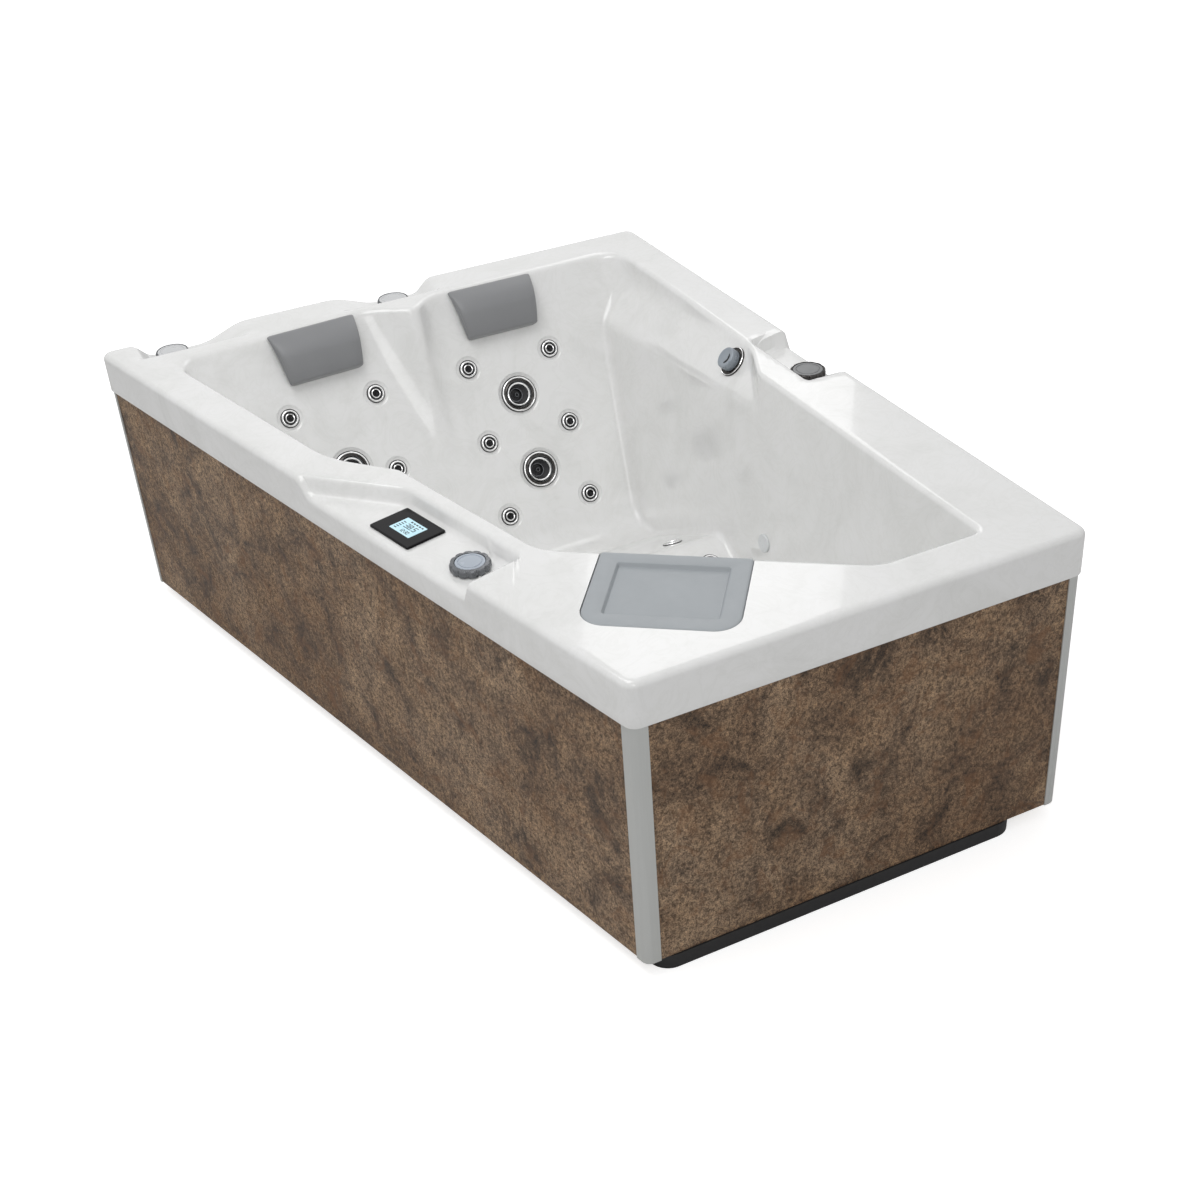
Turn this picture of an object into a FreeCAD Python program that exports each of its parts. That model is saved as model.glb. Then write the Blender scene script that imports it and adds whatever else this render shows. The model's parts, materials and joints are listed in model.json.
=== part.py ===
import FreeCAD, Part
import math
import os

# Two-person jetted bathtub in a panelled cabinet. Millimetres, +Z up.
# Origin: centre of the plan's box, on the floor. -X is the head end with the two pillows,
# +X the foot end, -Y the slanted front side, +Y the straight back side.

os.makedirs("parts", exist_ok=True)

# ---------------------------------------------------------------- driving dimensions
LENGTH = 2150.0            # head end to foot end
HEAD_WIDTH = 1650.0        # rim width at the head end
FOOT_WIDTH = 1085.0        # rim width at the foot end
HEIGHT = 775.0             # floor to rim
LIP_HEIGHT = 108.0         # rim skirt
SHELL_WALL = 8.0           # acrylic and its backing
RIM_CORNER_RADIUS = 30.0
RIM_EDGE_RADIUS = 16.0

# basin
HEAD_DECK = 140.0          # rim width in plan at the head end
BACK_DECK = 195.0          # along the back side
RECESS_DECK = 118.0        # along the back side, beside the seats
FOOT_DECK = 118.0
FRONT_DECK = 110.0         # beside the left seat
SHELF_DECK = 196.0         # beside the control shelf
FLOOR_LEVEL = 85.0
SEAT_TILT = 30.0           # seat back, degrees from upright
LEFT_SEAT_TURN = 4.0       # left seat back, degrees about the vertical
LEFT_SEAT_START = -91.0
WALL_DRAFT = 6.0
RECESS_DRAFT = 2.0
BACK_DRAFT = 7.0
DIAGONAL_FROM_FOOT = 543.0  # where the diagonal wall meets the front wall
DIAGONAL_ANGLE = 53.6      # diagonal wall's run, degrees from +X
JOG_FROM_FOOT = 1198.0     # where the front wall steps in beside the left seat
JOG_ANGLE = 40.7
HUMP_FROM_HEAD = 1015.0    # crest of the knee hump across the floor
HUMP_HEIGHT = 185.0
HUMP_RISE = 370.0
HUMP_FALL = 410.0
RIDGE_Y = 26.0             # ridge between the seats
RIDGE_REACH = 77.0
RIDGE_LEFT = 117.0
RIDGE_RIGHT = 75.0
RIDGE_DROP = 370.0
FACET_TILT = 50.0          # sloping facet that carries the wall knob, degrees from level
FACET_TURN = 4.1
RECESS_FROM_HEAD = 936.0   # where the recess beside the right seat starts to narrow
RECESS_END_RUN = 172.0
BASIN_CORNER_RADIUS = 70.0

# pockets sunk in the rim
POCKET_DEPTH = 40.0
HEAD_POCKET_WIDTH = 112.0
LEFT_POCKET_FROM_FRONT = 96.5
LEFT_POCKET_FLOOR = 162.0
LEFT_POCKET_NEAR_RAMP = 39.0
LEFT_POCKET_FAR_RAMP = 100.0
MIDDLE_POCKET_Y = -144.0
MIDDLE_POCKET_FLOOR = 134.0
MIDDLE_POCKET_NEAR_RAMP = 111.0
MIDDLE_POCKET_FAR_RAMP = 41.0
BACK_POCKET_WIDTH = 112.0
BACK_POCKET_FROM_HEAD = 931.0
BACK_POCKET_FLOOR = 242.0
BACK_POCKET_NEAR_RAMP = 6.0
BACK_POCKET_FAR_RAMP = 36.0
SHELF_START_FROM_FOOT = 1164.0
SHELF_TURN_FROM_FOOT = 946.0
SHELF_END_FROM_FOOT = 485.0
SHELF_WIDTH = 155.0

# cabinet
PANEL_INSET = 9.0
PANEL_THICKNESS = 12.0
PANEL_BOTTOM = 37.0
PANEL_LAP = 13.0           # how far a panel stands up behind the lip
POST_LEG = 34.0
POST_THICKNESS = 3.0
POST_RADIUS = 22.0
SEAT_GAP = 0.3             # between pieces that rest on or beside each other
PAN_WALL = 4.0
PAN_HEIGHT = 36.7
PAN_INSETS = (40.0, 5.0, 120.0, 40.0)    # front, foot, back and head side
PAN_CORNER_RADIUS = 50.0
RAIL_WIDTH = 38.0
LOWER_RAIL_HEIGHT = 60.0
SAW_CUT = 0.5
BEARER_WIDTH = 60.0
SKIDS_FROM_HEAD = (80.0, 555.0, 1035.0, 1535.0)
LAST_SKID_FROM_FOOT = 45.0
BEARERS_FROM_HEAD = (375.0, 825.0)
BEARER_FROM_FOOT = 415.0
RAIL_LEVEL = 37.0
NOGGIN_DROP = 195.0        # from the rim to the upper rails' underside
NOGGIN_HEIGHT = 60.0
FRONT_STUD_FROM_HEAD = 715.0
FRONT_STUD_FROM_FOOT = 385.0
BACK_STUD_FROM_HEAD = 675.0
BACK_STUD_FROM_FOOT = 575.0
FOOT_STUD_FROM_BACK = 540.5
HEAD_STUD_FROM_FRONT = 550.5
HEAD_STUD_FROM_BACK = 374.5
STUD_CORNER_REACH = 92.0   # corner stud's legs, from the rim's corner

# fittings
CAP_RADIUS = 46.0
CAP_HEIGHT = 18.0
CAP_LIFT = 1.0
CAP_SCALLOPS = 12
CAP_SCALLOP_RADIUS = 5.0
CAP_SCALLOP_OUT = 2.0
CAP_EDGE = 3.0
STEM_RADIUS = 8.0
STEM_CLEARANCE = 0.06
VALVE_RADIUS = 24.0
VALVE_LENGTH = 70.0
VALVE_FLANGE_RADIUS = 34.0
VALVE_FLANGE = 5.0
PORT_RADIUS = 14.0
PORT_LENGTH = 34.0
FIT_GAP = 0.5
CAP_EDGE_HEAD = 54.0       # cap centre from the rim's edge, at the head end and the back
CAP_EDGE_SHELF = 80.0
DIVERTER_FROM_FOOT = 588.0
LEFT_CAP_ALONG = 95.0      # cap centres along their pockets
MIDDLE_CAP_ALONG = 160.0
BACK_CAP_ALONG = 192.0
WALL_KNOB_SHIFT = -13.0    # from the start of the recess's end, towards the head
WALL_KNOB_DROP = 52.0      # below the rim, down the facet
WALL_RING_RADIUS = 42.0
WALL_RING_HEIGHT = 5.0
WALL_KNOB_RADIUS = 27.0
WALL_KNOB_HEIGHT = 30.0
KNOB_SLOT = (27.0, 7.0, 12.0)
KNOB_SLOT_OFFSET = 9.0

RIGHT_SEAT_Y = 281.0
LEFT_SEAT_Y = -265.0
JET_COLUMN = 130.0         # small jets, each side of the seat's middle
JET_ROWS = (204.0, 397.0)  # small jets below the rim
LOW_JET_LEVEL = 186.0      # right seat's lowest small jets
BIG_JET_ROWS = (296.0, 494.0)
LEFT_BIG_JET_ROW = 365.0
SMALL_RING_RADIUS = 25.0
SMALL_RING_BORE = 14.0
SMALL_RECESS_RADIUS = 38.0
SMALL_RECESS_DEPTH = 3.0
SMALL_BODY_RADIUS = 19.0
BIG_RING_RADIUS = 52.0
BIG_RING_BORE = 38.0
BIG_RECESS_RADIUS = 64.0
BIG_RECESS_DEPTH = 4.0
BIG_BODY_RADIUS = 44.0
BIG_BODY_LENGTH = 95.0
BODY_LENGTH = 60.0
BODY_WALL = 3.0
BODY_NUT = 7.0
TAIL_LENGTH = 17.0
RING_PROUD = 7.0
ROTOR_RADIUS = 36.0
ROTOR_LENGTH = 34.0
ROTOR_SINK = 3.0
PIVOT_RADIUS = 6.0
NOZZLE_DEPTH = 24.0
NOZZLE_LENGTH = 26.0
NOZZLE_BORE = 5.0
RING_EDGE = 2.5
ROTOR_NOZZLE_RADIUS = 13.0
ROTOR_NOZZLE_OFFSET = 14.0

PILLOW_WIDTH = 260.0
PILLOW_LENGTH = 150.0
PILLOW_SECTIONS = (        # share of the length, narrower by, thickness
    (0.0, 14.0, 16.0),
    (0.12, 0.0, 28.0),
    (0.40, 4.0, 40.0),
    (0.68, 12.0, 46.0),
    (0.88, 19.0, 42.0),
    (1.0, 38.0, 26.0),
)
PILLOW_BACK_EDGE = 5.0     # back's edges in from the widest place
PILLOW_SHOULDER_EDGE = 7.0
PILLOW_SHOULDER = 0.72     # shares of the thickness
PILLOW_SIDE = 0.35
PILLOW_TOP_GAP = 6.0
PILLOW_SEAT_GAP = 1.0
PIN_RADIUS = 5.0
PIN_LENGTH = 18.0
PIN_PITCH = 140.0
SPIGOT_RADIUS = 4.0
SPIGOT_REACH = 22.0

DISPLAY_FROM_FOOT = 818.0
DISPLAY_EDGE = 80.0
DISPLAY_LENGTH = 150.0
DISPLAY_WIDTH = 106.0
DISPLAY_HEIGHT = 6.0
SCREEN_LENGTH = 96.0
SCREEN_WIDTH = 60.0
SCREEN_DEPTH = 1.6
SCREEN_SINK = 0.2
DISPLAY_RADIUS = 8.0
HOUSING_LENGTH = 120.0
HOUSING_WIDTH = 78.0
HOUSING_DEPTH = 24.0

LID_START = 133.0          # along the diagonal wall
LID_LENGTH = 326.0
LID_WIDTH = 276.0
LID_THICKNESS = 12.0
LID_CLEARANCE = 1.5
LID_NEAR_RADIUS = 55.0
LID_FAR_RADIUS = 10.0
LID_TRAY_BORDER = 43.0
LID_TRAY_FAR_BORDER = 39.0
LID_TRAY_DEPTH = 6.0
LID_TRAY_RADIUS = 6.0
WELL_BORDER = 32.0
WELL_FAR_BORDER = 20.0
WELL_WALL = 4.0
WELL_BOX_DEPTH = 165.0
CANISTER_RADIUS = 84.0
CANISTER_RISE = 127.7      # canister's floor above the suction header
MOUTH_WIDTH = 190.0
MOUTH_HEIGHT = 92.0
MOUTH_REACH = 45.0         # the mouth's cut, each side of the wall's top
MOUTH_DROP = 22.0          # recess floor to the mouth's top
FLAP_THICKNESS = 4.0
FLAP_CLEARANCE = 2.0
FLAP_PIN_RADIUS = 2.5
CARTRIDGE_RADIUS = 64.0
CARTRIDGE_ROOM = 30.0      # canister above the cartridge
CARTRIDGE_BORE = 22.0
CARTRIDGE_TOP = 12.0
CARTRIDGE_GRIP = (80.0, 12.0, 27.0)
SPIGOT_LENGTH = 23.0
WELL_FLANGE = 11.0
THROAT_SINK = 1.0          # throat's end, back from the diagonal wall's top
FLAP_ACROSS = 10.0
FLAP_BARREL_RADIUS = 5.0
PIN_CLEARANCE = 0.05

LIGHT_FROM_HEAD = 1227.0
LIGHT_LEVEL = 345.0
LIGHT_RADIUS = 25.0
LIGHT_DEPTH = 40.0
LIGHT_PROUD = 6.0
LIGHT_EDGE = 4.0
LIGHT_HOUSING_RADIUS = 22.0
SUCTION_ALONG = (230.0, 480.0)
SUCTION_LEVEL = 190.0
SUCTION_RADIUS = 60.0
SUCTION_HEIGHT = 16.0
SUCTION_SLOTS = 16
SUCTION_SLOT = (16.0, 3.0)
SUCTION_SLOT_RADIUS = 32.0
SUCTION_TAIL = 18.0
SUCTION_BORE = 6.0
SUCTION_FACE = 5.0
SUCTION_FACE_RADIUS = 42.0

PUMP_RADIUS = 66.0
PUMP_LENGTH = 190.0
PUMP_ALONG = 310.0
PUMP_ACROSS = 175.0
PUMP_LEVEL = 118.0
WET_END_RADIUS = 78.0
WET_END_LENGTH = 64.0
WET_END_WALL = 5.0
SOCKET_WALL = 3.0
SOCKET_DEPTH = 6.0
SOCKET_LENGTH = 23.0
IMPELLER_RADIUS = 60.0
IMPELLER_LENGTH = 22.0
SHAFT_RADIUS = 8.0
SHAFT_CLEARANCE = 0.08
SHAFT_LENGTH = 110.0       # into the motor
MOTOR_CAP_LENGTH = 13.0
MOTOR_CAP_INSET = 7.0
MOTOR_FOOT = (26.0, 110.0)
MOTOR_FOOT_PITCH = 110.0
PIPE_RADIUS = 24.0
PIPE_WALL = 3.0
HEATER_RADIUS = 32.0
HEATER_LENGTH = 360.0
HEATER_FROM_FOOT = 955.0
HEATER_FROM_BACK = 160.5
HEATER_SADDLES = (50.0, 310.0)           # along the heater, each over a bearer
HEATER_LEVEL = 115.0
HEATER_WALL = 2.0
HEATER_FLANGE = 8.0
SADDLE = (24.0, 50.0)
CONTROL_LENGTH = 360.0
CONTROL_WIDTH = 96.0
CONTROL_HEIGHT = 250.0
CONTROL_FROM_FOOT = 775.0
CONTROL_LEVEL = 200.0
CONTROL_RADIUS = 10.0
CONTROL_LID = 38.0
GROOVE = 3.0
MANIFOLD_FROM_HEAD = 90.0
PRESSURE_LEVEL = 260.0
PRESSURE_FROM_FOOT = 118.0  # the pressure pipe's run along the foot end
PRESSURE_STEP = 101.0      # from the pump's outlet to that run's start, in Y
SUCTION_ACROSS = 30.0      # suction header, out from the diagonal wall
SUCTION_END = 520.0
SUCTION_BRANCH = 72.0
CANISTER_DROP = 83.0       # canister's outlet down to its branch
ELBOW_RUN = 68.0
HOSE_RADIUS = 10.0
HOSE_LEAD = 14.0
HOSE_BEND = 14.0
PIPE_BEND = 40.0
BRANCH_RADIUS = 22.0
CLAMP_HEIGHT = 30.0
MANIFOLD_END = 25.0        # manifold past the last jet
CUT = 1.0                  # how far a cutter or a joined body runs past a face
OPEN_ABOVE = 60.0          # how far the basin's cutter and the bores stand out
SEAM_REACH = 60.0

# ---------------------------------------------------------------- derived places
FRONT_ANGLE = math.atan2(HEAD_WIDTH - FOOT_WIDTH, LENGTH)
HALF = LENGTH / 2
CORNER_LOSS = RIM_CORNER_RADIUS * (math.tan(FRONT_ANGLE) + 1 / math.cos(FRONT_ANGLE) - 1)
BACK_Y = (HEAD_WIDTH - CORNER_LOSS) / 2      # the rounded head corner shortens the plan's box
FRONT_Y = BACK_Y - HEAD_WIDTH
CORNERS = [(-HALF, FRONT_Y), (HALF, BACK_Y - FOOT_WIDTH), (HALF, BACK_Y), (-HALF, BACK_Y)]
DIAGONAL_X = HALF - DIAGONAL_FROM_FOOT
JOG_X = HALF - JOG_FROM_FOOT
HUMP_CREST_X = HUMP_FROM_HEAD - HALF
RECESS_END_X = RECESS_FROM_HEAD - HALF
WALL_KNOB_X = RECESS_END_X + WALL_KNOB_SHIFT
LEFT_POCKET_Y = FRONT_Y + LEFT_POCKET_FROM_FRONT
BACK_POCKET_X = BACK_POCKET_FROM_HEAD - HALF
SHELF_START_X = HALF - SHELF_START_FROM_FOOT
SHELF_TURN_X = HALF - SHELF_TURN_FROM_FOOT
SHELF_END_X = HALF - SHELF_END_FROM_FOOT
DISPLAY_X = HALF - DISPLAY_FROM_FOOT
DIVERTER_X = HALF - DIVERTER_FROM_FOOT
LIGHT_X = LIGHT_FROM_HEAD - HALF
HEATER_X = HALF - HEATER_FROM_FOOT
HEATER_Y = BACK_Y - HEATER_FROM_BACK
CONTROL_X = HALF - CONTROL_FROM_FOOT
MANIFOLD_X = MANIFOLD_FROM_HEAD - HALF
MANIFOLD_END_Y = LEFT_SEAT_Y - JET_COLUMN - MANIFOLD_END
PRESSURE_X = HALF - PRESSURE_FROM_FOOT
HEATER_BEARER_X = [HEATER_X + along for along in HEATER_SADDLES]
BEARER_X = [start - HALF for start in BEARERS_FROM_HEAD] + HEATER_BEARER_X + [HALF - BEARER_FROM_FOOT]
SKID_X = [start - HALF for start in SKIDS_FROM_HEAD] + [HALF - LAST_SKID_FROM_FOOT]
FRONT_STUD_X = (FRONT_STUD_FROM_HEAD - HALF, HALF - FRONT_STUD_FROM_FOOT)
BACK_STUD_X = (BACK_STUD_FROM_HEAD - HALF, HALF - BACK_STUD_FROM_FOOT)
FOOT_STUD_Y = BACK_Y - FOOT_STUD_FROM_BACK
HEAD_STUD_Y = (FRONT_Y + HEAD_STUD_FROM_FRONT, BACK_Y - HEAD_STUD_FROM_BACK)
NOGGIN_LEVEL = HEIGHT - NOGGIN_DROP
LIP_BOTTOM = HEIGHT - LIP_HEIGHT
POCKET_FLOOR = HEIGHT - POCKET_DEPTH
PAN_FLOOR = PAN_WALL
FRONT_RUN = (math.cos(FRONT_ANGLE), math.sin(FRONT_ANGLE))
FRONT_INWARD = (-FRONT_RUN[1], FRONT_RUN[0])
BIG = 6000.0
UP = FreeCAD.Vector(0, 0, 1)


def vec(x, y, z=0.0):
    return FreeCAD.Vector(x, y, z)


def tan(degrees):
    return math.tan(math.radians(degrees))


def turned(degrees, tilt=0.0):
    """Unit vector at an angle about Z from +X, raised by tilt degrees."""
    a, t = math.radians(degrees), math.radians(tilt)
    return vec(math.cos(a) * math.cos(t), math.sin(a) * math.cos(t), math.sin(t))


def offset_polygon(points, inset):
    """Polygon with every side moved inwards; inset is one number or one for each side."""
    count = len(points)
    insets = inset if isinstance(inset, (list, tuple)) else [inset] * count
    lines = []
    for i in range(count):
        a, b = points[i], points[(i + 1) % count]
        run = math.hypot(b[0] - a[0], b[1] - a[1])
        dx, dy = (b[0] - a[0]) / run, (b[1] - a[1]) / run
        lines.append((a[0] - dy * insets[i], a[1] + dx * insets[i], dx, dy))
    result = []
    for i in range(count):
        px, py, dx, dy = lines[i - 1]
        qx, qy, ex, ey = lines[i]
        t = ((qx - px) * ey - (qy - py) * ex) / (dx * ey - dy * ex)
        result.append((px + dx * t, py + dy * t))
    return result


def prism(points, low, high):
    wire = Part.makePolygon([vec(x, y, low) for x, y in points + points[:1]])
    return Part.Face(wire).extrude(vec(0, 0, high - low))


def upright_edges(shape):
    return [e for e in shape.Edges if abs(e.tangentAt(e.FirstParameter).z) > 0.999]


def rounded_prism(points, low, high, radius):
    body = prism(points, low, high)
    return body.makeFillet(radius, upright_edges(body))


def cylinder(radius, length, base, direction=UP):
    return Part.makeCylinder(radius, length, base, direction)


def tube(outer, inner, length, base, direction=UP):
    return cylinder(outer, length, base, direction).cut(cylinder(inner, length, base, direction))


def box_at(frame, size, centre):
    """Box in a local frame, size and centre given along its own axes."""
    body = Part.makeBox(size[0], size[1], size[2],
                        vec(centre[0] - size[0] / 2, centre[1] - size[1] / 2, centre[2] - size[2] / 2))
    body.Placement = frame.multiply(body.Placement)
    return body


def frame_of(origin, x_axis, z_axis):
    """Placement whose Z is z_axis and whose X is as near x_axis as can be."""
    y_axis = z_axis.cross(x_axis).normalize()
    x_axis = y_axis.cross(z_axis).normalize()
    z_axis = FreeCAD.Vector(z_axis).normalize()
    matrix = FreeCAD.Matrix(x_axis.x, y_axis.x, z_axis.x, origin.x,
                            x_axis.y, y_axis.y, z_axis.y, origin.y,
                            x_axis.z, y_axis.z, z_axis.z, origin.z,
                            0, 0, 0, 1)
    return FreeCAD.Placement(matrix)


def beyond(point, outward, gap=0.0):
    """Everything past a plane, as one large block. The plane is moved outwards by gap."""
    start = point + outward * gap
    side = vec(0, 1, 0) if abs(outward.y) < 0.9 else vec(1, 0, 0)
    return box_at(frame_of(start, side, outward), (BIG, BIG, BIG), (0, 0, BIG / 2))


def common(shapes):
    body = shapes[0]
    for other in shapes[1:]:
        body = body.common(other)
    return body


def save(name, shape):
    shape.exportStep("parts/" + name + ".step")
    print(name, "solids", len(shape.Solids), "valid", shape.isValid(), "volume", round(shape.Volume))


def group(shapes):
    return Part.makeCompound(shapes)


# ---------------------------------------------------------------- places on the plan
def front_point(x, inset):
    """Point on the front side at x, moved inwards from the rim's edge."""
    y = FRONT_Y + (x + HALF) * math.tan(FRONT_ANGLE)
    return (x + FRONT_INWARD[0] * inset, y + FRONT_INWARD[1] * inset)


def front_level(x, inset):
    """The y at x of the line that runs along the front side at an inset."""
    return FRONT_Y + (x + HALF) * math.tan(FRONT_ANGLE) + inset / math.cos(FRONT_ANGLE)


DIAGONAL_START = vec(DIAGONAL_X, front_level(DIAGONAL_X, SHELF_DECK), HEIGHT)
ALONG = turned(DIAGONAL_ANGLE)
ACROSS = turned(DIAGONAL_ANGLE - 90.0)
JOG_START = vec(JOG_X, front_level(JOG_X, FRONT_DECK), HEIGHT)
HEAD_EDGE = -HALF + HEAD_DECK
SEAT_NORMAL = vec(math.cos(math.radians(SEAT_TILT)), 0, math.sin(math.radians(SEAT_TILT)))
LEFT_NORMAL = FreeCAD.Rotation(UP, LEFT_SEAT_TURN).multVec(SEAT_NORMAL)
RIGHT_ORIGIN = vec(HEAD_EDGE, 0, HEIGHT)
LEFT_ORIGIN = vec(HEAD_EDGE, LEFT_SEAT_START, HEIGHT)
FACET_TOP = vec(RECESS_END_X, BACK_Y - RECESS_DECK, HEIGHT)
FACET_NORMAL = turned(-90.0 - FACET_TURN, 90.0 - FACET_TILT)
END_RUN = vec(RECESS_END_RUN, RECESS_DECK - BACK_DECK, 0).normalize()
END_OUTWARD = vec(-END_RUN.y, END_RUN.x, 0)


def drafted(heading, draft):
    """Outward normal of a wall that faces away along heading and leans in towards the floor."""
    return turned(heading, -draft)


def seat_frame(left, across, drop):
    """Placement on a seat back: Z out of it, X along the seat's width, at a drop below the rim."""
    normal = LEFT_NORMAL if left else SEAT_NORMAL
    origin = LEFT_ORIGIN if left else RIGHT_ORIGIN
    x = origin.x - ((across - origin.y) * normal.y + (-drop) * normal.z) / normal.x
    return frame_of(vec(x, across, HEIGHT - drop), vec(0, 1, 0), normal)


def along_lid(along, across, z=0.0):
    """Point given along and across the diagonal wall, in plan, at height z."""
    p = DIAGONAL_START + ALONG * along + ACROSS * across
    return vec(p.x, p.y, z)


# ---------------------------------------------------------------- the moulded shell
def basin(gap):
    """The basin's hollow, or with a gap the outside of its wall."""
    top = HEIGHT + OPEN_ABOVE if gap == 0 else HEIGHT - CUT
    level = FLOOR_LEVEL - gap
    body = Part.makeBox(LENGTH, HEAD_WIDTH, top - level, vec(-HALF, FRONT_Y, level))
    heading = math.degrees(FRONT_ANGLE) - 90.0
    front = vec(*front_point(0, FRONT_DECK), HEIGHT)
    walls = [
        (RIGHT_ORIGIN, SEAT_NORMAL * -1),
        (LEFT_ORIGIN, LEFT_NORMAL * -1),
        (vec(0, BACK_Y - RECESS_DECK, HEIGHT), drafted(90.0, RECESS_DRAFT)),
        (vec(HALF - FOOT_DECK, 0, HEIGHT), drafted(0.0, WALL_DRAFT)),
        (DIAGONAL_START, drafted(DIAGONAL_ANGLE - 90.0, WALL_DRAFT)),
        (front, drafted(heading, WALL_DRAFT)),
    ]
    for point, outward in walls:
        body = body.cut(beyond(point, outward, gap))
    corner = [e for e in body.Edges
              if min(v.Z for v in e.Vertexes) < level + CUT and max(v.Z for v in e.Vertexes) > top - CUT
              and not near_seat_joint(e)]
    body = body.makeFillet(BASIN_CORNER_RADIUS + gap, corner)
    for filler in fillers(gap):
        body = body.cut(filler)
    return body


def near_seat_joint(edge):
    """True for the crease between the two seat backs, which stays sharp."""
    high = max(edge.Vertexes, key=lambda v: v.Z)
    return abs(high.Y - LEFT_SEAT_START) < SEAM_REACH and high.X < 0


def fillers(gap):
    """The bodies that stand into the basin: shelf side, back wall, ridge and knee hump."""
    heading = math.degrees(FRONT_ANGLE) - 90.0
    shelf_wall = vec(*front_point(0, SHELF_DECK), HEIGHT)
    shelf = common([beyond(shelf_wall, drafted(heading, WALL_DRAFT), gap),
                    beyond(JOG_START, drafted(JOG_ANGLE - 90.0, WALL_DRAFT), gap)])
    back_wall = beyond(vec(0, BACK_Y - BACK_DECK, HEIGHT), drafted(90.0, BACK_DRAFT), gap)
    back = back_wall.common(beyond(FACET_TOP, END_OUTWARD, gap))
    facet = back_wall.common(beyond(FACET_TOP, FACET_NORMAL * -1, gap))
    reach = vec(HEAD_EDGE + RIDGE_REACH, RIDGE_Y, HEIGHT)
    foot = vec(HEAD_EDGE + RIDGE_DROP * tan(SEAT_TILT), RIDGE_Y, HEIGHT - RIDGE_DROP)
    left = vec(HEAD_EDGE, RIDGE_Y - RIDGE_LEFT, HEIGHT)
    right = vec(HEAD_EDGE, RIDGE_Y + RIDGE_RIGHT, HEIGHT)
    ridge = common([beyond(reach, away_from_basin(reach, foot, left), gap),
                    beyond(reach, away_from_basin(reach, foot, right), gap)])
    crest = vec(HUMP_CREST_X, 0, FLOOR_LEVEL + HUMP_HEIGHT)
    rise = vec(HUMP_HEIGHT, 0, -HUMP_RISE).normalize()
    fall = vec(-HUMP_HEIGHT, 0, -HUMP_FALL).normalize()
    hump = common([beyond(crest, rise, gap), beyond(crest, fall, gap)])
    return [shelf, back, facet, ridge, hump]


def away_from_basin(a, b, c):
    normal = (b - a).cross(c - a).normalize()
    return normal if normal.x < 0 else normal * -1


def side_pocket(start, inward, heading, width, lengths, gap):
    """Pocket open to the rim's edge: ramp, floor and ramp along heading, sunk from the rim."""
    near, floor, far = lengths
    low = POCKET_FLOOR - gap
    high = HEIGHT + CUT
    grow = CUT / POCKET_DEPTH
    profile = [(-near * grow - gap, high), (near - gap, low), (near + floor + gap, low),
               (near + floor + far + far * grow + gap, high)]
    points = [vec(start.x, start.y, 0) + heading * s + UP * z + inward * -RIM_CORNER_RADIUS
              for s, z in profile]
    face = Part.Face(Part.makePolygon(points + points[:1]))
    return face.extrude(inward * (width + gap + RIM_CORNER_RADIUS))


def pockets(gap):
    left = side_pocket(vec(-HALF, LEFT_POCKET_Y), vec(1, 0), vec(0, 1), HEAD_POCKET_WIDTH,
                       (LEFT_POCKET_NEAR_RAMP, LEFT_POCKET_FLOOR, LEFT_POCKET_FAR_RAMP), gap)
    middle = side_pocket(vec(-HALF, MIDDLE_POCKET_Y), vec(1, 0), vec(0, 1), HEAD_POCKET_WIDTH,
                         (MIDDLE_POCKET_NEAR_RAMP, MIDDLE_POCKET_FLOOR, MIDDLE_POCKET_FAR_RAMP), gap)
    back = side_pocket(vec(BACK_POCKET_X, BACK_Y), vec(0, -1), vec(1, 0), BACK_POCKET_WIDTH,
                       (BACK_POCKET_NEAR_RAMP, BACK_POCKET_FLOOR, BACK_POCKET_FAR_RAMP), gap)
    turn = SHELF_TURN_X + SHELF_WIDTH * FRONT_RUN[1]
    plan = [front_point(SHELF_START_X, -RIM_CORNER_RADIUS),
            front_point(SHELF_END_X, -RIM_CORNER_RADIUS),
            front_point(SHELF_END_X, SHELF_WIDTH),
            front_point(turn, SHELF_WIDTH),
            front_point(SHELF_START_X, 0)]
    shelf = prism(offset_polygon(plan, -gap), POCKET_FLOOR - gap, HEIGHT + CUT)
    return [left, middle, back, shelf]


def rim_outline(inset, low, high):
    return rounded_prism(offset_polygon(CORNERS, inset), low, high, RIM_CORNER_RADIUS - inset)


def lid_plan(grow, near_radius, far_radius, low, high):
    """Lid-shaped block, rounded more at the corners towards the rim."""
    a, b = LID_START - grow, LID_START + LID_LENGTH + grow
    near = LID_WIDTH + grow
    points = [along_lid(a, -grow), along_lid(a, near), along_lid(b, near), along_lid(b, -grow)]
    body = prism([(p.x, p.y) for p in points], low, high)
    rounded = {True: near_radius, False: far_radius}
    for is_near in (True, False):
        edges = [e for e in upright_edges(body)
                 if ((e.Vertexes[0].Point - DIAGONAL_START).dot(ACROSS) > LID_WIDTH / 2) == is_near]
        body = body.makeFillet(rounded[is_near], edges)
    return body


def well_plan(grow, low, high):
    a = LID_START + WELL_BORDER - grow
    b = LID_START + LID_LENGTH - WELL_BORDER + grow
    c = WELL_FAR_BORDER - grow
    d = LID_WIDTH - WELL_BORDER + grow
    points = [along_lid(a, c), along_lid(a, d), along_lid(b, d), along_lid(b, c)]
    return prism([(p.x, p.y) for p in points], low, high)


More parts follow.
